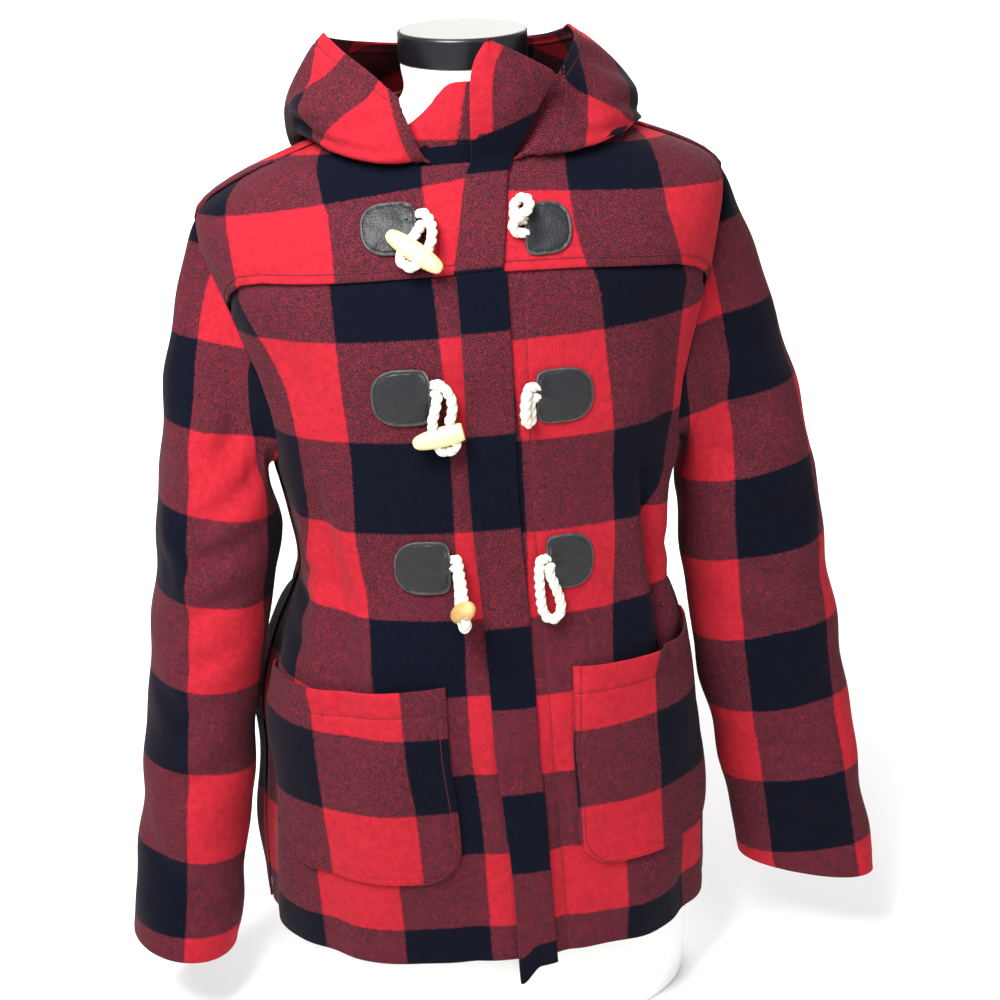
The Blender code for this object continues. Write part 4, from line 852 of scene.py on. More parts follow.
def hood_half(side, material):
    """Half of the hood as it lies down: from the neck seam over its belly to the rim of its opening."""
    table = np.array(HOOD[side], float)
    start, arc = table[0, 0], 180 - table[0, 0]
    near_edge = np.array([*AT_EDGE, 0.006, *(HOOD_HEM + d for d in AT_STITCH), 0.0135])
    front = start + near_edge / 0.30 * arc
    degrees = np.concatenate([front, np.linspace(front[-1] + 2, 178.5, 84), [180]])
    columns = []
    for d in degrees:
        p = hood_column(side, table, d)
        length = lengths(p)[-1]
        at = np.concatenate([np.linspace(0.0, length - 0.017, 56), length - near_edge[::-1]]) / length
        columns.append(picked(through(p, 200), np.linspace(0, 1, 200), at))
    columns[-1][:, 0] = side * (CLOTH / 2 + 0.0002)
    tucked = [tuck_in(columns[0], side, share) for share in (1.0, 0.85, 0.7, 0.55, 0.4, 0.25, 0.12)]
    facing = len(tucked) if side > 0 else 0
    grid = np.array(tucked[:facing] + columns).transpose(1, 0, 2)
    n = grid_normals(grid, False, side < 0)
    along, across = lengths(grid), lengths(grid, 1)
    across = across - across[:, facing:facing + 1]
    station = np.concatenate([np.zeros(facing), (degrees - start) / arc])[None, :]
    step = along / along[-1:]
    keep = smooth(0.0, 0.12, step) * smooth(1.0, 0.9, step) * smooth(1.0, 0.95, station)
    relief = folds(HOOD_FOLDS[side], np.broadcast_to(station, step.shape), step) * keep
    waves = 0.0012 * np.sin(9 * station + 5 * step + side) + 0.0008 * np.sin(23 * station - 7 * step)
    relief += waves * keep
    relief += groove(along[-1:] - along, HOOD_HEM) + groove(across, HOOD_HEM)
    grid = grid + n * relief[..., None]
    if side < 0:
        lay_rows = np.interp(along + 0.5 * np.minimum(across, 0.10),
                             (0.0, 0.034, 0.088, 0.142, 0.216, 0.290, 0.364),
                             (0.1, 0.15, 1.0, 2.0, 3.0, 4.0, 5.0))
        lay_columns = 2 - (HOOD_HEM - across) / CHECK
        lay_columns = np.where(across > HOOD_HEM, 2 + (across - HOOD_HEM) / 0.086, lay_columns)
        lining = (1.0, 0.0)
    else:
        lay_rows = np.maximum(1 + (along + 0.18 * np.minimum(across, 0.1) - 0.077) / CHECK, 0.06)
        lay_columns = np.interp(across, (0, 0.037, 0.092, 0.166, 0.240, 0.314),
                                (1.45, 2.0, 3.0, 4.0, 5.0, 6.0))
        lining = (1.0, 1.0)
    return cloth("hood_" + SIDE[side], material, grid, np.stack([lay_columns, lay_rows], -1), flip=side < 0,
                 lining=lining, sewn_rows=[len(grid) - 8], sewn_columns=[facing + 7])


FLAP_ROWS = (0.732, 0.667)        # the check's red row on the flap above the yoke's edge
FLAP_JOIN = YOKE[-1][0][1]        # height at which the flap's two pieces meet
FLAP_TIP = 0.066                  # lowest point of the flap, at its free edge


def flap_lower(material):
    """Storm flap below the yokes, its free edge wavering and hanging lower at the foot."""
    top, foot = FLAP_JOIN - CLOTH / 2, HEM_Z - 0.006
    across = np.array([0, 0.025, 0.06, 0.10, 0.17, 0.28, 0.4, 0.5, 0.6, 0.7, 0.8, 0.9, 0.95, 0.98, 1.0])
    grid, lay = [], []
    for height in foot + stations(top - foot, 0.0045):
        t = (height - foot) / (top - foot)
        edge = -FLAP_HALF[0] + 0.0055 * smooth(0.25, 1.0, 1 - t)
        x = edge + (FLAP_HALF[1] - edge) * across
        u = middle(height) + x
        drop = (foot - FLAP_TIP) * (1 - smooth(0.0, 0.55, across)) * smooth(0.12, 0.0, t)
        wave = (0.0012 * np.sin(height * 55 + 1.0) + 0.0008 * np.sin(height * 120)) * (1 - across) ** 2
        puff = 0.0007 * np.sin(math.pi * across)
        grid.append(on_cloth(u, height - drop, LAP + 0.0002 + 0.0006 * (1 - across) + wave + puff))
        lay.append(flap_lay(x, height, ROWS["flap_lower"]))
    return cloth("flap_lower", material, grid, lay)


def flap_upper(material):
    """The same strip over the yoke, then free of it as a lapel that ends in a point."""
    across = np.concatenate([[0, 0.03, 0.07, 0.13], np.linspace(0.2, 0.8, 14), [0.87, 0.93, 0.97, 1.0]])
    foot, join = FLAP_JOIN + CLOTH / 2 + 0.0001, LAPEL[0][0] - 0.012
    grid, lay = [], []
    for height in foot + stations(join - foot, 0.004):
        t = np.clip((height - foot) / (LAPEL[0][0] - foot), 0, 1)
        left = -FLAP_HALF[0] + (LAPEL[0][1] + FLAP_HALF[0]) * t
        right = FLAP_HALF[1] + (LAPEL[0][2] - FLAP_HALF[1]) * t
        x = left + (right - left) * across
        puff = 0.0007 * np.sin(math.pi * across)
        grid.append(on_cloth(x, np.full(x.shape, height), LAP + 0.0002 + puff))
        lay.append(flap_lay(x, np.full(x.shape, height), FLAP_ROWS))
    tip = LAPEL[-1][0]
    upper = np.concatenate([np.linspace(LAPEL[0][0], 0.803, 18), np.linspace(0.806, tip - 0.001, 12), [tip]])
    for height in upper:
        left, right, fwd = curve_through(LAPEL, height)
        x = left + (right - left) * across
        bend = 0.0030 * np.sin(math.pi * across) * smooth(0.745, 0.79, height)
        crease = -0.0016 * np.exp(-(((across - 0.38) / 0.10) ** 2)) * smooth(0.76, 0.80, height)
        grid.append(np.stack([x, -fwd + 3.0 * x**2 - bend - crease, np.full(x.shape, height)], 1))
        rows = (0.758 + 0.37 * (x - left) - height) / CHECK - 1
        columns = 1 + (x - left - 0.016) / CHECK
        lay.append(np.stack([np.where(rows > -1, np.maximum(columns, 1.5), columns), rows], -1))
    return cloth("flap_upper", material, grid, lay, lining=(1.0, 0.0))


def neck_guard(material):
    """The other front's edge, standing against the neck behind the lapel, in soft rolls."""
    grid, lay = [], []
    steps = np.concatenate([np.linspace(0, 0.94, 30), [0.965, 0.985, 1.0]])
    for degrees in np.linspace(GUARD[0][0], GUARD[-1][0], 70):
        top, reach = curve_through(GUARD, degrees)
        turn, neck = math.radians(degrees), float(line_through(NECKLINE, abs(degrees))) - 0.004
        foot = ring(turn, neck) - outward(turn, neck) * (CLOTH + 0.0016)
        head = polar(degrees, reach, top)
        p = through([foot, (foot + head) / 2 - np.array([0, 0.001, 0]), head], 100)
        q = picked(p, np.linspace(0, 1, 100), steps)
        roll = 0.0030 * np.sin(turn * 9 + 3.0 * steps) * np.sin(math.pi * steps) ** 0.7
        grid.append(q + polar(degrees, 1, 0) * (0.0012 + roll)[:, None])
        edge = np.where(q[:, 2] < 0.752, -0.030, -0.006)
        columns = 1 + (0.062 * turn - edge) / CHECK
        lay.append(np.stack([columns, 1 + (0.757 - q[:, 2]) / CHECK], -1))
    return cloth("neck_guard", material, np.array(grid).transpose(1, 0, 2), np.array(lay).transpose(1, 0, 2))


POCKET_STITCH = 0.0055
POCKET_BAND = 0.0205      # row of stitches below the pocket's mouth
# The check's rows on the pockets, and its columns: tape of the first two edges at the foot and at the mouth
POCKET_ROWS = {-1: (0.2947, 0.2287, 0.1608, 0.093), 1: (0.2907, 0.2228, 0.1608, 0.093)}
POCKET_COLUMNS = {-1: (0.0700, 0.1477, 0.0789, 0.1530), 1: (0.1330, 0.2050, 0.1326, 0.2060)}


def pocket_point(side, across, v):
    """Tape and height of the pocket at a share across it and a share up it."""
    near0, near1, far0, far1, foot, mouth, fall = POCKET[side]
    z = foot + (mouth - foot) * v
    rise = max(POCKET_CORNER - (z - foot), 0)
    cut = POCKET_CORNER - math.sqrt(POCKET_CORNER**2 - rise**2)
    near = near0 + (near1 - near0) * v + 0.95 * cut
    far = far0 + (far1 - far0) * v - 0.95 * cut
    u = near + (far - near) * across
    sag = -0.003 * np.sin(math.pi * across) * v**3 - fall * across**2 * smooth(0.3, 1.0, v)
    return u, z + sag


def pocket(side, material):
    """Patch pocket with round lower corners, stitched along its edge, its mouth standing a little open."""
    foot, mouth = POCKET[side][4:6]
    height = mouth - foot
    curve = POCKET_CORNER * (1 - np.cos(np.radians(np.linspace(0, 80, 26))))
    rest = np.linspace(POCKET_CORNER, height - POCKET_BAND - 0.004, 26)
    band = height - POCKET_BAND + np.array(AT_STITCH)
    top = np.linspace(height - POCKET_BAND + 0.004, height - 0.004, 5)
    up = np.concatenate([curve, rest, band, top, height - np.array(AT_EDGE[2::-1])])
    width = 0.17              # about the pocket's width, for distances from its edge
    d = stations(width, 0.004, (POCKET_STITCH,), (POCKET_STITCH,)) / width
    grid, lay = [], []
    first0, second0, first1, second1 = POCKET_COLUMNS[side]
    for h in up:
        v = h / height
        u, z = pocket_point(side, d, v)
        from_edge = np.minimum(d, 1 - d) * width
        near_edge = np.minimum(from_edge, h if h < POCKET_CORNER else 1.0)
        belly = 0.0022 * np.sin(math.pi * d) ** 0.7 * smooth(0.30, 1.0, v)
        lift = 0.0026 * smooth(0.86, 1.0, v) * np.sin(math.pi * d)
        flat = LAP + 0.0005 + 0.0008 * smooth(0.0, 0.004, near_edge)
        relief = groove(near_edge, POCKET_STITCH) + groove(np.full(d.shape, height - h), POCKET_BAND)
        waves = 0.0010 * np.sin(70 * u + 30 * z) * smooth(0.0, 0.03, near_edge)
        grid.append(on_cloth(side * u, z, flat + belly + lift + relief + waves))
        first, second = first0 + (first1 - first0) * v, second0 + (second1 - second0) * v
        columns = (2 if side < 0 else 1) + (u - first) / (second - first)
        lay.append(np.stack([columns, rows_at(POCKET_ROWS[side], z) + 1], -1))
    edges = [int(np.argmin(np.abs(d * width - at))) for at in (POCKET_STITCH, width - POCKET_STITCH)]
    return cloth("pocket_" + SIDE[side], material, grid, lay, flip=side < 0, sewn_columns=edges,
                 sewn_rows=[len(curve) + len(rest) + 2])


# ---------------------------------------------------------------- leather patches
PATCH_STITCH = 0.0026


def patch_outline(side, width, height, count):
    """A D: straight on the side towards the middle, round on the other."""
    turn = 2 * math.pi * (np.arange(count) + 0.5) / count
    c, s = np.cos(turn), np.sin(turn)
    x = np.sign(c) * np.abs(c) ** (2 / np.where(c > 0, 2.3, 5.5)) * width / 2
    y = np.sign(s) * np.abs(s) ** (2 / np.where(c > 0, 2.6, 5.5)) * height / 2
    table = np.concatenate([np.stack([side * x, y], 1), [(side * x[0], y[0])]])
    return through(table, count + 1)[:-1]


def rope_ends(name):
    """Where ropes go in under this patch: tape and height."""
    row = name.split("_")[2]
    if "right" in name:
        first, last = TOGGLE_ROPES["toggle_" + row]
        return [first[0][:2], last[-1][:2]]
    route = LOOPS["loop_" + row]
    return [route[0][:2], route[-1][:2]]


def patch(name, material):
    """Leather D with a rounded cut edge and a dented row of stitches, lifted where ropes go in under it."""
    u, z, width, height = PATCHES[name]
    side = 1 if u > 0 else -1
    slope = float(np.linalg.norm(on_body(u, z + 0.002) - on_body(u, z - 0.002)) / 0.004)
    count = 132
    outline = patch_outline(side, width, height, count)
    # from the underside round the cut edge, then inwards: distance in from the edge, height over the cloth
    face = (0.0006, 0.0012, 0.0018, 0.0022, PATCH_STITCH, 0.0030, 0.0036, 0.0046)
    edge = [(0.0, 0.0), (0.0, 0.0010), (0.0002, 0.0015), *((inset, LEATHER) for inset in face)]
    rings = [(1 - 2 * inset / (width + height) * 2, rise, inset) for inset, rise in edge]
    last = rings[-1][0]
    rings += [(last * k, LEATHER, face[-1] + (1 - k) * 0.016) for k in (0.86, 0.72, 0.58, 0.44, 0.3, 0.16)]
    points, lays = [], []
    for scale, rise, inset in rings:
        flat = outline * scale
        bulge = 0.0006 * (1 - smooth(0.0, 1.0, np.full(count, scale)))
        bulge += 0.00020 * np.sin(260 * flat[:, 0] + 2.0 * np.sin(190 * flat[:, 1] + 100 * u))
        pucker = 0.00018 * np.sin(np.arange(count) * 2 * math.pi * 14 / count)
        pucker *= math.exp(-(((inset - 0.002) / 0.0016) ** 2))
        at_u, at_z = flat[:, 0] + u, flat[:, 1] / slope + z
        lift = np.zeros(count)
        for end_u, end_z in rope_ends(name):
            near = np.hypot(at_u - end_u - side * 0.0035, (at_z - end_z) * slope)
            lift = np.maximum(lift, 0.0042 * np.exp(-((near / 0.0062) ** 2)))
        out = LAP - CLOTH + rise + bulge * (rise > 0.001) + pucker + lift
        out += groove(np.full(count, inset), PATCH_STITCH, 0.0005, 0.0006)
        points.append(on_body(at_u, at_z, out))
        lays.append(np.stack([np.full(count, inset * 1000), np.arange(count) / count * 40], 1))
    points += [on_body(np.array([u]), np.array([z]), np.array([out]))
               for out in (LAP - CLOTH + LEATHER + 0.0006, LAP - CLOTH)]
    lays += [np.array([[20.0, 0.0]]), np.array([[20.0, 0.0]])]
    faces = []
    total = len(rings) * count
    for i in range(count):
        j = (i + 1) % count
        faces += [(k + i, k + j, k + count + j, k + count + i) for k in range(0, total - count, count)]
        faces += [(total - count + i, total - count + j, total), (j, i, total + 1)]
    if side < 0:
        faces = [f[::-1] for f in faces]
    obj = make_mesh("leather_" + name, np.concatenate(points), faces, np.concatenate(lays))
    return finish_piece(obj, material, name, slot="leather")


# ---------------------------------------------------------------- toggles and ropes
def toggle_frame(name):
    """Matrix of a toggle: local Z along the peg, local X up through its holes."""
    u, z, out, lean, nose = TOGGLES[name][:5]
    centre = on_body(u, z, out)
    a = float(angle_at(u, z))
    n = outward(a, z)
    across = ring(a + 0.01, z) - ring(a - 0.01, z)
    across /= np.linalg.norm(across)
    up = np.cross(n, across)
    t, o = math.radians(lean), math.radians(nose)
    axis = (across * math.cos(t) + up * math.sin(t)) * math.cos(o) + n * math.sin(o)
    top = up - axis * (up @ axis)
    top /= np.linalg.norm(top)
    m = np.eye(4)
    m[:3, 0], m[:3, 1], m[:3, 2], m[:3, 3] = top, np.cross(axis, top), axis, centre
    return Matrix([[float(v) for v in row] for row in m])


def lathe(name, profile, count):
    """Turned solid round Z through a profile of radius and height, from its top on the axis to its foot."""
    rings = np.array(profile[1:-1])
    turn = np.linspace(0, 2 * math.pi, count, endpoint=False)
    x = rings[:, :1] * np.cos(turn)
    y = rings[:, :1] * np.sin(turn)
    z = np.repeat(rings[:, 1:], count, 1)
    points = np.stack([x, y, z], -1).reshape(-1, 3)
    points = np.concatenate([points, [(0, 0, profile[0][1]), (0, 0, profile[-1][1])]])
    faces = [tuple(f) for f in grid_faces(len(rings), count, True, 0, True)]
    last = (len(rings) - 1) * count
    for i in range(count):
        j = (i + 1) % count
        faces += [(i, j, len(points) - 2), (last + j, last + i, len(points) - 1)]
    return make_mesh(name, points, faces)


def toggle(name, material):
    """Turned wooden peg with two holes across it; one end of the middle one is cut flat."""
    half, r = TOGGLE_LENGTH / 2, TOGGLE_RADIUS
    share = np.linspace(0, 1, 61)[1:-1]
    profile = [(r * math.sin(math.pi * t) ** 0.62, half * math.cos(math.pi * t)) for t in share]
    profile = [(0.0, half)] + profile + [(0.0, -half)]
    end = TOGGLES[name][5]
    if end < half:
        wide = r * math.sin(math.acos(end / half)) ** 0.62
        flat = [(0.0, end), (wide * 0.6, end), (wide - 0.0006, end), (wide - 0.0001, end - 0.0005)]
        profile = flat + [p for p in profile if p[1] < end - 0.001]
    obj = lathe("wood_" + name, profile, 56)
    for k, z in enumerate((-HOLE_APART, HOLE_APART)):
        radius = CORD / 2 + 0.0010
        drill = lathe(f"drill_{k}", [(0.0, 2 * r), (radius, 2 * r), (radius, -2 * r), (0.0, -2 * r)], 40)
        drill.data.transform(Matrix.Translation((0, 0, z)) @ Matrix.Rotation(math.pi / 2, 4, "Y"))
        cut = obj.modifiers.new(f"hole_{k}", "BOOLEAN")
        cut.operation = "DIFFERENCE"
        cut.solver = "EXACT"
        cut.object = drill
    bpy.context.view_layer.update()
    whole = bpy.data.meshes.new_from_object(obj.evaluated_get(bpy.context.evaluated_depsgraph_get()))
    obj.modifiers.clear()
    for k in range(2):
        bpy.data.objects.remove(bpy.data.objects[f"drill_{k}"])
    grain = whole.attributes.new("grain", "FLOAT_VECTOR", "POINT")
    places = np.zeros(len(whole.vertices) * 3)
    whole.vertices.foreach_get("co", places)
    grain.data.foreach_set("vector", places)
    whole.transform(toggle_frame(name))
    whole.shade_smooth()
    whole.set_sharp_from_angle(angle=math.radians(40))
    obj.data = whole
    return finish_piece(obj, material, name, slot="wood")


def under_patch(at, patch_name):
    """Where the rope's end lies under the leather."""
    u, z, _width, _height = PATCHES[patch_name]
    side = 1 if u > 0 else -1
    return (at[0] + side * 0.0046, at[1] + 0.12 * (z - at[1]), 0.0030)


def toggle_route(name):
    """Rope from its patch through one hole, round under the toggle and back through the other."""
    matrix = toggle_frame(name)
    lead_in, lead_out = TOGGLE_ROPES[name]
    patch_name = name.replace("toggle", "patch_right")
    h, r = HOLE_APART, TOGGLE_RADIUS
    half = ((r + 0.002, h), (0, h), (-r + 0.001, h), (-r - 0.0015, 0.95 * h), (-r - 0.0037, 0.62 * h))
    bend = [(x, -z) for x, z in half] + [(-r - 0.0046, 0)] + list(half[::-1])
    points = [on_body(*at) for at in (under_patch(lead_in[0], patch_name), *lead_in)]
    points += [np.array(matrix @ Vector((x, 0, z))) for x, z in bend]
    return points + [on_body(*at) for at in (*lead_out, under_patch(lead_out[-1], patch_name))]


def loop_route(name):
    """Free loop of rope, from under its patch and back again."""
    route = LOOPS[name]
    first, last = (under_patch(at, name.replace("loop", "patch_left")) for at in (route[0], route[-1]))
    return [on_body(*at) for at in (first, *route, last)]


STRANDS = 3
STRAND_OFF = 0.38         # a strand's middle and its radius, in shares of the rope's radius
STRAND_RADIUS = 0.63
FULL = 1.24               # the soft strands fill out past the rope's measured width


def rope(name, points, lay_length, material):
    """Laid rope along a route: strands that wind round each other, thinner under the leather."""
    route = through(points, 24)
    length = float(lengths(through(points, 400))[-1])
    count = int(length / 0.0007)
    p = through(points, count)
    tangent = unit(np.gradient(p, axis=0))
    side = unit(np.cross(tangent[0], (0.3, 0.5, 0.81)))
    sides = []
    for t in tangent:
        side = unit(side - t * (side @ t))
        sides.append(side)
    sides = np.array(sides)
    ups = np.cross(tangent, sides)
    s = np.linspace(0, length, count)[:, None]
    around = 42
    turn = np.linspace(0, 2 * math.pi, around, endpoint=False)[None, :]
    strand = (turn - 2 * math.pi * s / lay_length) * STRANDS
    local = (np.mod(strand + math.pi, 2 * math.pi) - math.pi) / STRANDS
    lobe = STRAND_OFF * np.cos(local) + np.sqrt(STRAND_RADIUS**2 - (STRAND_OFF * np.sin(local)) ** 2)
    taper = 0.78 + 0.22 * smooth(0, 0.005, np.minimum(s, length - s))
    uneven = 1 + 0.03 * np.sin(s * 900) + 0.02 * np.sin(s * 2300 + turn)
    radius = FULL * CORD / 2 * lobe * taper * uneven
    aside, upwards = (radius * np.cos(turn))[..., None], (radius * np.sin(turn))[..., None]
    tube = p[:, None] + sides[:, None] * aside + ups[:, None] * upwards
    ends = [p[:1] - tangent[:1] * 0.0006, p[-1:] + tangent[-1:] * 0.0006]
    points = np.concatenate([tube.reshape(-1, 3), *ends])
    lay = np.stack(np.broadcast_arrays(s * 1000, strand), -1).reshape(-1, 2)
    lay = np.concatenate([lay, [[0, 0], [0, 0]]])
    faces = [tuple(f) for f in grid_faces(count, around, True, 0, False)]
    first, last = count * around, (count - 1) * around
    for i in range(around):
        j = (i + 1) % around
        faces += [(j, i, first), (last + i, last + j, first + 1)]
    obj = make_mesh("cotton_" + name, points, faces, lay)
    finish_piece(obj, material, name, slot="rope")
    return obj, route, length


# ---------------------------------------------------------------- dress form and its cap
CAP_RADIUS = 0.0505
CAP_HEIGHT = 0.0236
TOP_Z = 0.830


def dress_form(material):
    """Stuffed torso under stretched jersey, cut flat at its foot."""
    around = 180
    levels = np.concatenate([(0.0, 0.0008, 0.002, 0.004, 0.008), np.linspace(0.014, 0.65, 54),
                             np.linspace(0.656, 0.8060, 54)])
    turn = np.linspace(0, 2 * math.pi, around, endpoint=False)
    p = ring(turn[None, :], levels[:, None], FORM)
    rounding = 0.0030 * (1 - np.sqrt(1 - (1 - np.clip(levels / 0.004, 0, 1)) ** 2))
    centre = p.mean(1, keepdims=True)
    flat = unit((p - centre) * (1, 1, 0))
    p = p - flat * rounding[:, None, None]
    p[0, :, 2] = 0.0
    count = p.shape[0] * p.shape[1]
    faces = [tuple(f) for f in grid_faces(len(levels), around, True)]
    for i in range(around):
        j = (i + 1) % around
        faces += [(j, i, count), (count - around + i, count - around + j, count + 1)]
    ends = np.stack([p[0].mean(0), p[-1].mean(0)])
    obj = make_mesh("jersey_dress_form", np.concatenate([p.reshape(-1, 3), ends]), faces)
    return finish_piece(obj, material, "dress_form", slot="form_cover")


def neck_cap(side_material, top_material):
    """Moulded cap with a pale plate let into its top."""
    r, top, foot = CAP_RADIUS, TOP_Z, TOP_Z - CAP_HEIGHT
    upper, lower = 0.0030, 0.0015      # radii of its rounded edges
    bend = [(r - upper + upper * math.sin(t), top - upper + upper * math.cos(t))
            for t in np.linspace(0.0, math.pi / 2, 9)]
    low = [(r - lower + lower * math.cos(t), foot + lower - lower * math.sin(t))
           for t in np.linspace(0.0, math.pi / 2, 6)]
    walls = [(r, top - upper - d) for d in (0.004, 0.009, 0.014)]
    profile = [(0.0, top), (0.012, top), (0.025, top), (0.037, top), (0.0445, top)] + bend + walls + low
    profile += [(0.040, foot), (0.0, foot)]
    obj = lathe("moulded_neck_cap", profile, 120)
    finish_piece(obj, side_material, "neck_cap", slot="cap_plastic")
    obj.data.materials.append(top_material)
    for face in obj.data.polygons:
        if face.center.z > top - 0.0004:
            face.material_index = 1
    return obj


# ---------------------------------------------------------------- stitches
def tree_node(tree, kind, inputs=(), **settings):
    """One node of a tree: its settings, then its inputs as values or as links from other nodes' outputs."""
    made = tree.nodes.new(kind)
    for key, value in settings.items():
        setattr(made, key, value)
    for key, value in dict(inputs).items():
        if isinstance(value, bpy.types.NodeSocket):
            tree.links.new(value, made.inputs[key])
        else:
            made.inputs[key].default_value = value
    return made


def stitch_tree():
    """Sets a short rounded stitch at even steps along every line it is given."""
    tree = bpy.data.node_groups.new("stitch rows", "GeometryNodeTree")
    face = tree.interface
    face.new_socket("Geometry", in_out="INPUT", socket_type="NodeSocketGeometry")
    for name in ("Pitch", "Length", "Thickness"):
        face.new_socket(name, in_out="INPUT", socket_type="NodeSocketFloat")
    face.new_socket("Thread", in_out="INPUT", socket_type="NodeSocketMaterial")
    face.new_socket("Geometry", in_out="OUTPUT", socket_type="NodeSocketGeometry")
    given = tree_node(tree, "NodeGroupInput").outputs
    line = tree_node(tree, "GeometryNodeMeshToCurve", {"Mesh": given["Geometry"]})
    even = tree_node(tree, "GeometryNodeResampleCurve", {"Curve": line.outputs[0], "Length": given["Pitch"]},
                     mode="LENGTH")
    along = tree_node(tree, "GeometryNodeInputTangent")
    turned = tree_node(tree, "FunctionNodeAlignRotationToVector", {"Vector": along.outputs[0]}, axis="Z")
    half = tree_node(tree, "ShaderNodeMath", {0: given["Thickness"], 1: 0.5}, operation="MULTIPLY")
    stitch = tree_node(tree, "GeometryNodeMeshCylinder",
                       {"Vertices": 6, "Radius": half.outputs[0], "Depth": given["Length"]})
    rows = tree_node(tree, "GeometryNodeInstanceOnPoints",
                     {"Points": even.outputs[0], "Instance": stitch.outputs[0],
                      "Rotation": turned.outputs[0]})
    real = tree_node(tree, "GeometryNodeRealizeInstances", {0: rows.outputs[0]})
    dyed = tree_node(tree, "GeometryNodeSetMaterial",
                     {"Geometry": real.outputs[0], "Material": given["Thread"]})
    tree_node(tree, "NodeGroupOutput", {0: dyed.outputs[0]})
    return tree


def stitch_rows(name, lines, pitch, length, thickness, thread):
    points, edges = [], []
    for line in lines:
        start = len(points)
        points += np.asarray(line).tolist()
        edges += [(start + i, start + i + 1) for i in range(len(line) - 1)]
    mesh = bpy.data.meshes.new(name)
    mesh.from_pydata(points, edges, [])
    obj = bpy.data.objects.new(name, mesh)
    collection().objects.link(obj)
    tree = stitch_tree()
    rows = obj.modifiers.new("stitch rows", "NODES")
    rows.node_group = tree
    values = {"Pitch": pitch, "Length": length, "Thickness": thickness, "Thread": thread}
    for item in tree.interface.items_tree:
        if item.in_out == "INPUT" and item.name in values:
            rows[item.identifier] = values[item.name]
    bpy.context.view_layer.update()
    whole = bpy.data.meshes.new_from_object(obj.evaluated_get(bpy.context.evaluated_depsgraph_get()))
    obj.modifiers.remove(rows)
    obj.data = whole
    return finish_piece(obj, thread, slot="check_wool")


# ---------------------------------------------------------------- materials
def linear(hex_colour):
    """sRGB hex to the linear colour that shaders take."""
    parts = [int(hex_colour[i:i + 2], 16) / 255 for i in (1, 3, 5)]
    return tuple(c / 12.92 if c <= 0.04045 else ((c + 0.055) / 1.055) ** 2.4 for c in parts)


def colour(value):
    return (*value, 1.0)


def new_material(name):
    made = bpy.data.materials.new(name)
    made.use_nodes = True
    made.node_tree.nodes.clear()
    return made, made.node_tree


def finish_material(tree, inputs):
    surface = tree_node(tree, "ShaderNodeBsdfPrincipled", inputs)
    tree_node(tree, "ShaderNodeOutputMaterial", {"Surface": surface.outputs[0]})


def maths(tree, operation, a, b=0.0, c=0.0, clamp=False):
    node = tree_node(tree, "ShaderNodeMath", {0: a, 1: b, 2: c}, operation=operation, use_clamp=clamp)
    return node.outputs[0]


def noise(tree, vector, scale, detail=2.0, roughness=0.5):
    made = tree_node(tree, "ShaderNodeTexNoise",
                     {"Vector": vector, "Scale": scale, "Detail": detail, "Roughness": roughness})
    return made.outputs


def mix_colour(tree, share, a, b, blend="MIX"):
    made = tree_node(tree, "ShaderNodeMix", data_type="RGBA", blend_type=blend)
    for socket, value in ((made.inputs[0], share), (made.inputs[6], a), (made.inputs[7], b)):
        if isinstance(value, bpy.types.NodeSocket):
            tree.links.new(value, socket)
        else:
            socket.default_value = value
    return made.outputs[2]


def bump(tree, height, strength, distance):
    inputs = {"Height": height, "Strength": strength, "Distance": distance}
    return tree_node(tree, "ShaderNodeBump", inputs).outputs[0]


def vector_maths(tree, operation, inputs):
    return tree_node(tree, "ShaderNodeVectorMath", inputs, operation=operation).outputs[0]


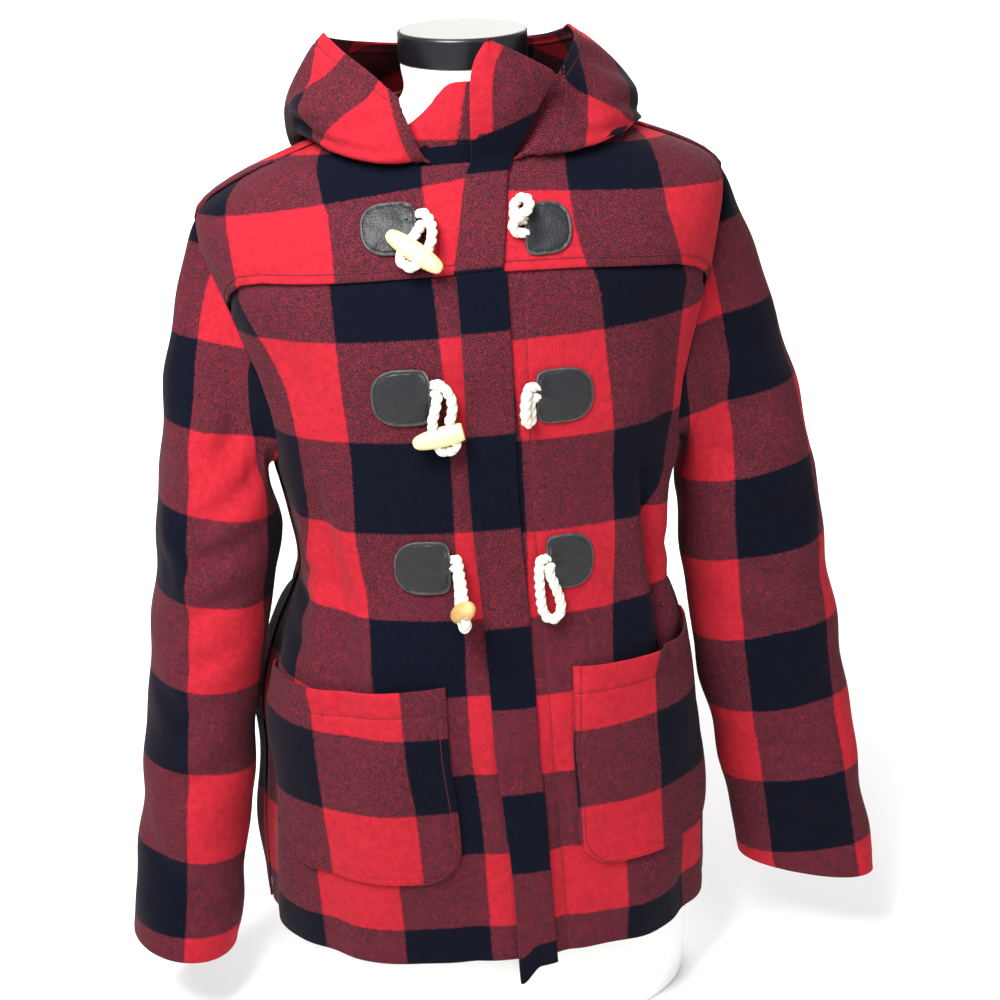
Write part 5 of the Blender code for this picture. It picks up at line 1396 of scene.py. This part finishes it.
def wool(settings):
    """Mackinaw wool, woven in a 2/2 twill of two colours and then napped on both faces.

    The nap hides the threads in the plain squares. Where a red band crosses a dark one, the threads lie side
    by side and read as wine."""
    made, tree = new_material("mackinaw wool, twill woven and napped")
    lay = tree_node(tree, "ShaderNodeUVMap", uv_map="lay").outputs[0]
    place = tree_node(tree, "ShaderNodeTexCoord").outputs["Object"]
    ragged = noise(tree, place, 520, 3, 0.7)["Color"]
    centred = vector_maths(tree, "SUBTRACT", {0: ragged, 1: (0.5, 0.5, 0.5)})
    pulled = vector_maths(tree, "SCALE", {0: centred, "Scale": 0.055})
    fuzzy = tree_node(tree, "ShaderNodeVectorMath", {0: lay, 1: pulled}, operation="ADD").outputs[0]
    axes = tree_node(tree, "ShaderNodeSeparateXYZ", {0: fuzzy}).outputs

    def band(value):
        wave = maths(tree, "SINE", maths(tree, "MULTIPLY", value, math.pi))
        return maths(tree, "MULTIPLY_ADD", wave, 16.0, 0.5, clamp=True)

    column, row = band(axes[0]), band(axes[1])
    # a real twill of this weight has a line every 2.2 mm or so, which just shows
    lines_a_band = CHECK / settings.twill
    plain = tree_node(tree, "ShaderNodeSeparateXYZ", {0: lay}).outputs
    both = maths(tree, "ADD", plain[0], plain[1])
    fibre = noise(tree, place, 900, 3, 0.65)[0]
    waver = maths(tree, "MULTIPLY", fibre, 3.0)
    phase = maths(tree, "MULTIPLY_ADD", both, 2 * math.pi * lines_a_band, waver)
    twill = maths(tree, "SINE", phase)
    speckle = maths(tree, "MULTIPLY_ADD", noise(tree, place, 1050, 1, 0.5)[0], 2.0, -0.86)
    threads = maths(tree, "ADD", maths(tree, "MULTIPLY", twill, 0.20), speckle, clamp=True)
    both_red = maths(tree, "MULTIPLY", row, column)
    one_red = maths(tree, "SUBTRACT", maths(tree, "MAXIMUM", row, column), both_red)
    share = maths(tree, "MULTIPLY_ADD", one_red, threads, both_red)
    # the two yarns rub off on each other where they cross, so the dark one is greyer there
    dusty = mix_colour(tree, maths(tree, "MULTIPLY", one_red, 0.5), colour(settings.dark),
                       colour(linear("#33272F")))
    base = mix_colour(tree, share, dusty, colour(settings.red))
    patchy = noise(tree, place, 170, 4, 0.6)[0]
    shade = maths(tree, "ADD", maths(tree, "MULTIPLY", fibre, 0.9), maths(tree, "MULTIPLY", patchy, 0.7))
    lightness = maths(tree, "ADD", shade, 0.18)
    tone = tree_node(tree, "ShaderNodeCombineXYZ", {0: lightness, 1: lightness, 2: lightness}).outputs[0]
    base = mix_colour(tree, 1.0, base, tone, "MULTIPLY")
    # stray pale fibres lie over both colours
    stray = maths(tree, "MULTIPLY_ADD", noise(tree, place, 1500, 2, 0.8)[0], 4.0, -2.45, clamp=True)
    base = mix_colour(tree, maths(tree, "MULTIPLY", stray, 0.14), base, colour(linear("#8E6468")))
    nap = maths(tree, "ADD", fibre, maths(tree, "MULTIPLY", twill, 0.05))
    finish_material(tree, {"Base Color": base, "Roughness": 0.95,
                           "Specular IOR Level": 0.06, "Sheen Weight": 0.04,
                           "Sheen Roughness": 0.45, "Sheen Tint": colour(linear("#FFD8D8")), "IOR": 1.54,
                           "Normal": bump(tree, nap, 0.55, 0.0009)})
    return made


def leather(settings):
    """Pigmented cowhide, embossed and dyed through: a small even pebble with a low sheen, rubbed paler on its
    skived edge."""
    made, tree = new_material("pigmented cowhide, embossed")
    lay = tree_node(tree, "ShaderNodeUVMap", uv_map="lay").outputs[0]
    place = tree_node(tree, "ShaderNodeTexCoord").outputs["Object"]
    inset = tree_node(tree, "ShaderNodeSeparateXYZ", {0: lay}).outputs[0]
    grained = {"Vector": place, "Scale": 640.0, "Randomness": 1.0}
    cells = tree_node(tree, "ShaderNodeTexVoronoi", grained).outputs[0]
    wear = noise(tree, place, 150, 3, 0.6)[0]
    rim = maths(tree, "MULTIPLY_ADD", inset, -1.2, 2.2, clamp=True)
    worn = maths(tree, "MULTIPLY", rim, maths(tree, "MULTIPLY_ADD", wear, 1.6, -0.25, clamp=True))
    base = mix_colour(tree, worn, colour(settings.leather), colour(linear("#544F4E")))
    base = mix_colour(tree, maths(tree, "MULTIPLY", cells, 0.30), base, colour(linear("#2B2B30")))
    height = maths(tree, "ADD", maths(tree, "MULTIPLY", cells, -1.0), maths(tree, "MULTIPLY", wear, 2.2))
    finish_material(tree, {"Base Color": base, "Roughness": 0.48, "IOR": 1.5, "Specular IOR Level": 0.38,
                           "Normal": bump(tree, height, 0.40, 0.0005)})
    return made


def rope_cotton(settings):
    """Bleached cotton, laid in three strands: matt and a little furry, with painted shade that darkens the
    cream in the grooves between the strands.
    """
    made, tree = new_material("bleached cotton, laid rope")
    lay = tree_node(tree, "ShaderNodeUVMap", uv_map="lay").outputs[0]
    place = tree_node(tree, "ShaderNodeTexCoord").outputs["Object"]
    strand = tree_node(tree, "ShaderNodeSeparateXYZ", {0: lay}).outputs[1]
    # painted shade: the cream turns darker in the grooves between the strands, where shade falls
    painted_groove_shade = maths(tree, "MULTIPLY_ADD", maths(tree, "COSINE", strand), -0.8, -0.35, clamp=True)
    fur = noise(tree, place, 1500, 3, 0.7)[0]
    base = mix_colour(tree, painted_groove_shade, colour(settings.rope), colour(linear("#C9C0A4")))
    finish_material(tree, {"Base Color": base, "Roughness": 0.9, "IOR": 1.5, "Specular IOR Level": 0.2,
                           "Sheen Weight": 0.2, "Normal": bump(tree, fur, 0.6, 0.0006)})
    return made


def wood(name, pale, dark):
    """Birch, turned, sanded and lacquered: pale, with thin grain lines along the peg and a soft gloss."""
    made, tree = new_material(name)
    grain = tree_node(tree, "ShaderNodeAttribute", attribute_name="grain").outputs["Vector"]
    drawn = vector_maths(tree, "MULTIPLY", {0: grain, 1: (1.0, 1.0, 0.06)})
    lines = noise(tree, drawn, 900, 3, 0.6)[0]
    broad = noise(tree, drawn, 230, 2, 0.5)[0]
    share = maths(tree, "MULTIPLY_ADD", maths(tree, "ADD", lines, broad), 1.1, -0.75, clamp=True)
    base = mix_colour(tree, share, colour(pale), colour(dark))
    finish_material(tree, {"Base Color": base, "Roughness": 0.42, "IOR": 1.5, "Coat Weight": 0.25,
                           "Coat Roughness": 0.25, "Normal": bump(tree, lines, 0.15, 0.0002)})
    return made


def jersey(settings):
    """Polyester jersey stretched over foam: matt white, its rows of knit too fine to show at arm's length."""
    made, tree = new_material("polyester jersey, knitted")
    place = tree_node(tree, "ShaderNodeTexCoord").outputs["Object"]
    knit = noise(tree, place, 1400, 2, 0.6)[0]
    finish_material(tree, {"Base Color": colour(settings.form), "Roughness": 0.85, "Specular IOR Level": 0.25,
                           "Sheen Weight": 0.1, "Normal": bump(tree, knit, 0.2, 0.0003)})
    return made


def moulded_plastic():
    """ABS, injection moulded and satin black: dark with soft wide highlights."""
    made, tree = new_material("ABS, moulded satin black")
    place = tree_node(tree, "ShaderNodeTexCoord").outputs["Object"]
    spark = noise(tree, place, 2200, 1, 0.5)[0]
    finish_material(tree, {"Base Color": colour(linear("#0E1014")), "Roughness": 0.32, "IOR": 1.53,
                           "Normal": bump(tree, spark, 0.08, 0.0001)})
    return made


def brushed_plate():
    """Aluminium, turned and clear anodised: a pale disc with faint rings."""
    made, tree = new_material("aluminium, turned and anodised")
    place = tree_node(tree, "ShaderNodeTexCoord").outputs["Object"]
    rings = tree_node(tree, "ShaderNodeTexWave", {"Vector": place, "Scale": 260.0, "Distortion": 0.3},
                      wave_type="RINGS", rings_direction="Z").outputs[1]
    finish_material(tree, {"Base Color": colour(linear("#5E5C57")), "Metallic": 1.0, "Roughness": 0.5,
                           "Normal": bump(tree, rings, 0.05, 0.0001)})
    return made


def thread_material(settings):
    """Spun polyester thread, dyed: a dull dark red that sinks into the nap."""
    made, tree = new_material("spun polyester thread, dyed")
    place = tree_node(tree, "ShaderNodeTexCoord").outputs["Object"]
    ply = noise(tree, place, 3000, 1, 0.5)[0]
    finish_material(tree, {"Base Color": colour(settings.thread), "Roughness": 0.8, "Specular IOR Level": 0.3,
                           "Normal": bump(tree, ply, 0.3, 0.0002)})
    return made


def material_for(kind, settings):
    """Each material is made once and then shared."""
    if kind not in MADE:
        makers = {
            "wool": lambda: wool(settings), "leather": lambda: leather(settings),
            "rope": lambda: rope_cotton(settings), "jersey": lambda: jersey(settings),
            "wood": lambda: wood("birch, turned and lacquered", settings.wood, linear("#D9B878")),
            # a darker, more orange copy of the birch: painted shade for the bottom toggle
            "wood in painted shade": lambda: wood("birch, turned and lacquered, in painted shade", linear("#E2BC7C"), linear("#B98546")),
            "plastic": moulded_plastic, "plate": brushed_plate,
            "thread": lambda: thread_material(settings),
        }
        MADE[kind] = makers[kind]()
    return MADE[kind]


MADE = {}


# ---------------------------------------------------------------- settings and operators
class JacketSettings(PropertyGroup):
    red: FloatVectorProperty(name="Red", description="Red yarn of the check", subtype="COLOR", size=3,
                             min=0, max=1, default=linear("#A21F2B"))
    dark: FloatVectorProperty(name="Navy", description="Dark yarn of the check", subtype="COLOR", size=3,
                              min=0, max=1, default=linear("#060A17"))
    thread: FloatVectorProperty(name="Thread", description="Sewing thread of the wool",
                                subtype="COLOR", size=3,
                                min=0, max=1, default=linear("#5A1A22"))
    leather: FloatVectorProperty(name="Leather", description="Leather of the patches",
                                 subtype="COLOR", size=3,
                                 min=0, max=1, default=linear("#111216"))
    rope: FloatVectorProperty(name="Rope", description="Rope of the loops", subtype="COLOR", size=3,
                              min=0, max=1, default=linear("#E4DFD0"))
    wood: FloatVectorProperty(name="Wood", description="Wood of the toggles", subtype="COLOR", size=3,
                              min=0, max=1, default=linear("#F2DFA6"))
    form: FloatVectorProperty(name="Form cover", description="Jersey of the dress form",
                              subtype="COLOR", size=3,
                              min=0, max=1, default=linear("#F6F6F4"))
    twill: FloatProperty(name="Twill line", description="Distance between two lines of the twill",
                         subtype="DISTANCE", unit="LENGTH", default=0.0023, min=0.001, max=0.006)
    rope_lay: FloatProperty(name="Rope lay", description="Length in which a strand goes once round the rope",
                            subtype="DISTANCE", unit="LENGTH", default=0.021, min=0.01, max=0.05)
    stitch: FloatProperty(name="Stitch", description="Length of one stitch",
                          subtype="DISTANCE", unit="LENGTH", default=0.0026, min=0.001, max=0.006)


class JACKET_OT_stage(Operator):
    """Camera at the photograph's view, pale floor and soft light"""
    bl_idname = "jacket.stage"
    bl_label = "Stage"

    def execute(self, context):
        a, p, r = math.radians(-8.0), math.radians(20.57), math.radians(1.5)
        ahead = Vector((-math.sin(a) * math.cos(p), math.cos(a) * math.cos(p), -math.sin(p)))
        right = Vector((math.cos(a), math.sin(a), 0.0))
        up = right.cross(ahead)
        side = right * math.cos(r) - up * math.sin(r)
        top = right * math.sin(r) + up * math.cos(r)
        view = bpy.data.cameras.new("camera")
        view.lens = 87.05
        view.sensor_width = 36.0
        camera = bpy.data.objects.new("camera", view)
        camera.matrix_world = Matrix((
            (side.x, top.x, -ahead.x, -0.2414), (side.y, top.y, -ahead.y, -1.8595),
            (side.z, top.z, -ahead.z, 1.144), (0, 0, 0, 1)))
        context.scene.collection.objects.link(camera)
        context.scene.camera = camera
        half = 7.0
        mesh = bpy.data.meshes.new("floor")
        corners = [(-half, -half, 0), (half, -half, 0), (half, half, 0), (-half, half, 0)]
        mesh.from_pydata(corners, [], [(0, 1, 2, 3)])
        floor = bpy.data.objects.new("floor", mesh)
        paper, tree = new_material("background paper, matt white")
        finish_material(tree, {"Base Color": (0.93, 0.93, 0.93, 1), "Roughness": 0.9,
                               "Specular IOR Level": 0.1})
        mesh.materials.append(paper)
        context.scene.collection.objects.link(floor)
        middle_ = (0, 0, 0.42)
        lights = (("key light", (-0.70, -1.0, 1.85), 0.9, 72, middle_),
                  ("fill light", (1.5, -2.2, 1.5), 1.6, 8, middle_),
                  ("back light", (0.6, 2.0, 1.9), 1.6, 34, middle_),
                  ("floor light", (0.5, 4.3, 2.6), 3.0, 150, (0.5, 4.4, 0)))
        for name, at, size, power, target in lights:
            lamp = bpy.data.lights.new(name, "AREA")
            lamp.energy = power
            lamp.size = size
            light = bpy.data.objects.new(name, lamp)
            light.location = at
            light.rotation_euler = (Vector(target) - Vector(at)).to_track_quat("-Z", "Y").to_euler()
            context.scene.collection.objects.link(light)
        world = bpy.data.worlds.new("studio")
        world.use_nodes = True
        sky = world.node_tree.nodes["Background"]
        sky.inputs["Color"].default_value = (1, 1, 1, 1)
        sky.inputs["Strength"].default_value = 0.46
        context.scene.world = world
        context.scene.view_settings.view_transform = "Standard"
        return {"FINISHED"}


class JACKET_OT_toggles(Operator):
    """Three turned wooden toggles with their holes"""
    bl_idname = "jacket.toggles"
    bl_label = "Toggles"

    def execute(self, context):
        settings = context.scene.jacket
        for name in TOGGLES:
            # the bottom toggle takes the darker copy of the birch, which is painted shade
            toggle(name, material_for("wood in painted shade" if name == "toggle_bottom" else "wood", settings))
        return {"FINISHED"}


class JACKET_OT_ropes(Operator):
    """The toggles' ropes and the loops they go through, both ends under the leather"""
    bl_idname = "jacket.ropes"
    bl_label = "Ropes"

    def execute(self, context):
        settings = context.scene.jacket
        material = material_for("rope", settings)
        for name in TOGGLES:
            obj, route, length = rope("rope_" + name, toggle_route(name), settings.rope_lay, material)
        for name in LOOPS:
            obj, route, length = rope(name, loop_route(name), settings.rope_lay, material)
        return {"FINISHED"}


class JACKET_OT_form(Operator):
    """The dress form and the cap on its neck"""
    bl_idname = "jacket.form"
    bl_label = "Dress form"

    def execute(self, context):
        settings = context.scene.jacket
        dress_form(material_for("jersey", settings))
        neck_cap(material_for("plastic", settings), material_for("plate", settings))
        return {"FINISHED"}


class JACKET_OT_body(Operator):
    """Back and fronts"""
    bl_idname = "jacket.body"
    bl_label = "Back and fronts"

    def execute(self, context):
        material = material_for("wool", context.scene.jacket)
        back_panel(material)
        for side in (-1, 1):
            front_panel(side, material)
        return {"FINISHED"}


class JACKET_OT_yokes(Operator):
    """Front yokes, stitched over the fronts"""
    bl_idname = "jacket.yokes"
    bl_label = "Yokes"

    def execute(self, context):
        material = material_for("wool", context.scene.jacket)
        for side in (-1, 1):
            yoke_panel(side, material)
        return {"FINISHED"}


class JACKET_OT_sleeves(Operator):
    """Set-in sleeves with open cuffs"""
    bl_idname = "jacket.sleeves"
    bl_label = "Sleeves"

    def execute(self, context):
        material = material_for("wool", context.scene.jacket)
        for side in (-1, 1):
            sleeve(side, material)
        return {"FINISHED"}


class JACKET_OT_hood(Operator):
    """Both halves of the hood, lying down"""
    bl_idname = "jacket.hood"
    bl_label = "Hood"

    def execute(self, context):
        material = material_for("wool", context.scene.jacket)
        for side in (-1, 1):
            hood_half(side, material)
        return {"FINISHED"}


class JACKET_OT_flap(Operator):
    """Storm flap, its lapel and the guard behind it"""
    bl_idname = "jacket.flap"
    bl_label = "Storm flap"

    def execute(self, context):
        material = material_for("wool", context.scene.jacket)
        flap_lower(material)
        flap_upper(material)
        neck_guard(material)
        return {"FINISHED"}


class JACKET_OT_pockets(Operator):
    """Patch pockets"""
    bl_idname = "jacket.pockets"
    bl_label = "Pockets"

    def execute(self, context):
        material = material_for("wool", context.scene.jacket)
        for side in (-1, 1):
            pocket(side, material)
        return {"FINISHED"}


class JACKET_OT_patches(Operator):
    """Six leather patches over the ends of the ropes"""
    bl_idname = "jacket.patches"
    bl_label = "Leather patches"

    def execute(self, context):
        material = material_for("leather", context.scene.jacket)
        for name in PATCHES:
            patch(name, material)
        return {"FINISHED"}


class JACKET_OT_stitches(Operator):
    """Rows of stitches on the yokes, the left front, the hood and the pockets"""
    bl_idname = "jacket.stitches"
    bl_label = "Stitches"

    def execute(self, context):
        settings = context.scene.jacket
        stitch_rows("stitches_on_wool", SEWN, settings.stitch * 1.35, settings.stitch, 0.0007,
                    material_for("thread", settings))
        return {"FINISHED"}


class JACKET_PT_panel(Panel):
    """Pieces, sizes and colours of the jacket"""
    bl_idname = "JACKET_PT_panel"
    bl_label = "Hooded toggle jacket"
    bl_space_type = "VIEW_3D"
    bl_region_type = "UI"
    bl_category = "Jacket"

    def draw(self, context):
        for name in ("red", "dark", "thread", "leather", "rope", "wood", "form",
                     "twill", "rope_lay", "stitch"):
            self.layout.prop(context.scene.jacket, name)
        for operator in OPERATORS:
            self.layout.operator(operator.bl_idname)


OPERATORS = (JACKET_OT_stage, JACKET_OT_toggles, JACKET_OT_ropes, JACKET_OT_form, JACKET_OT_body,
             JACKET_OT_yokes, JACKET_OT_sleeves, JACKET_OT_hood, JACKET_OT_flap, JACKET_OT_pockets,
             JACKET_OT_patches, JACKET_OT_stitches)
CLASSES = (JacketSettings, *OPERATORS, JACKET_PT_panel)


def register():
    for made in CLASSES:
        bpy.utils.register_class(made)
    bpy.types.Scene.jacket = PointerProperty(type=JacketSettings)


def unregister():
    del bpy.types.Scene.jacket
    for made in reversed(CLASSES):
        bpy.utils.unregister_class(made)


def main():
    register()
    bpy.ops.jacket.stage()
    bpy.ops.jacket.toggles()
    bpy.ops.jacket.ropes()
    bpy.ops.jacket.form()
    bpy.ops.jacket.body()
    bpy.ops.jacket.yokes()
    bpy.ops.jacket.sleeves()
    bpy.ops.jacket.hood()
    bpy.ops.jacket.flap()
    bpy.ops.jacket.pockets()
    bpy.ops.jacket.patches()
    bpy.ops.jacket.stitches()


if __name__ == "__main__":
    main()
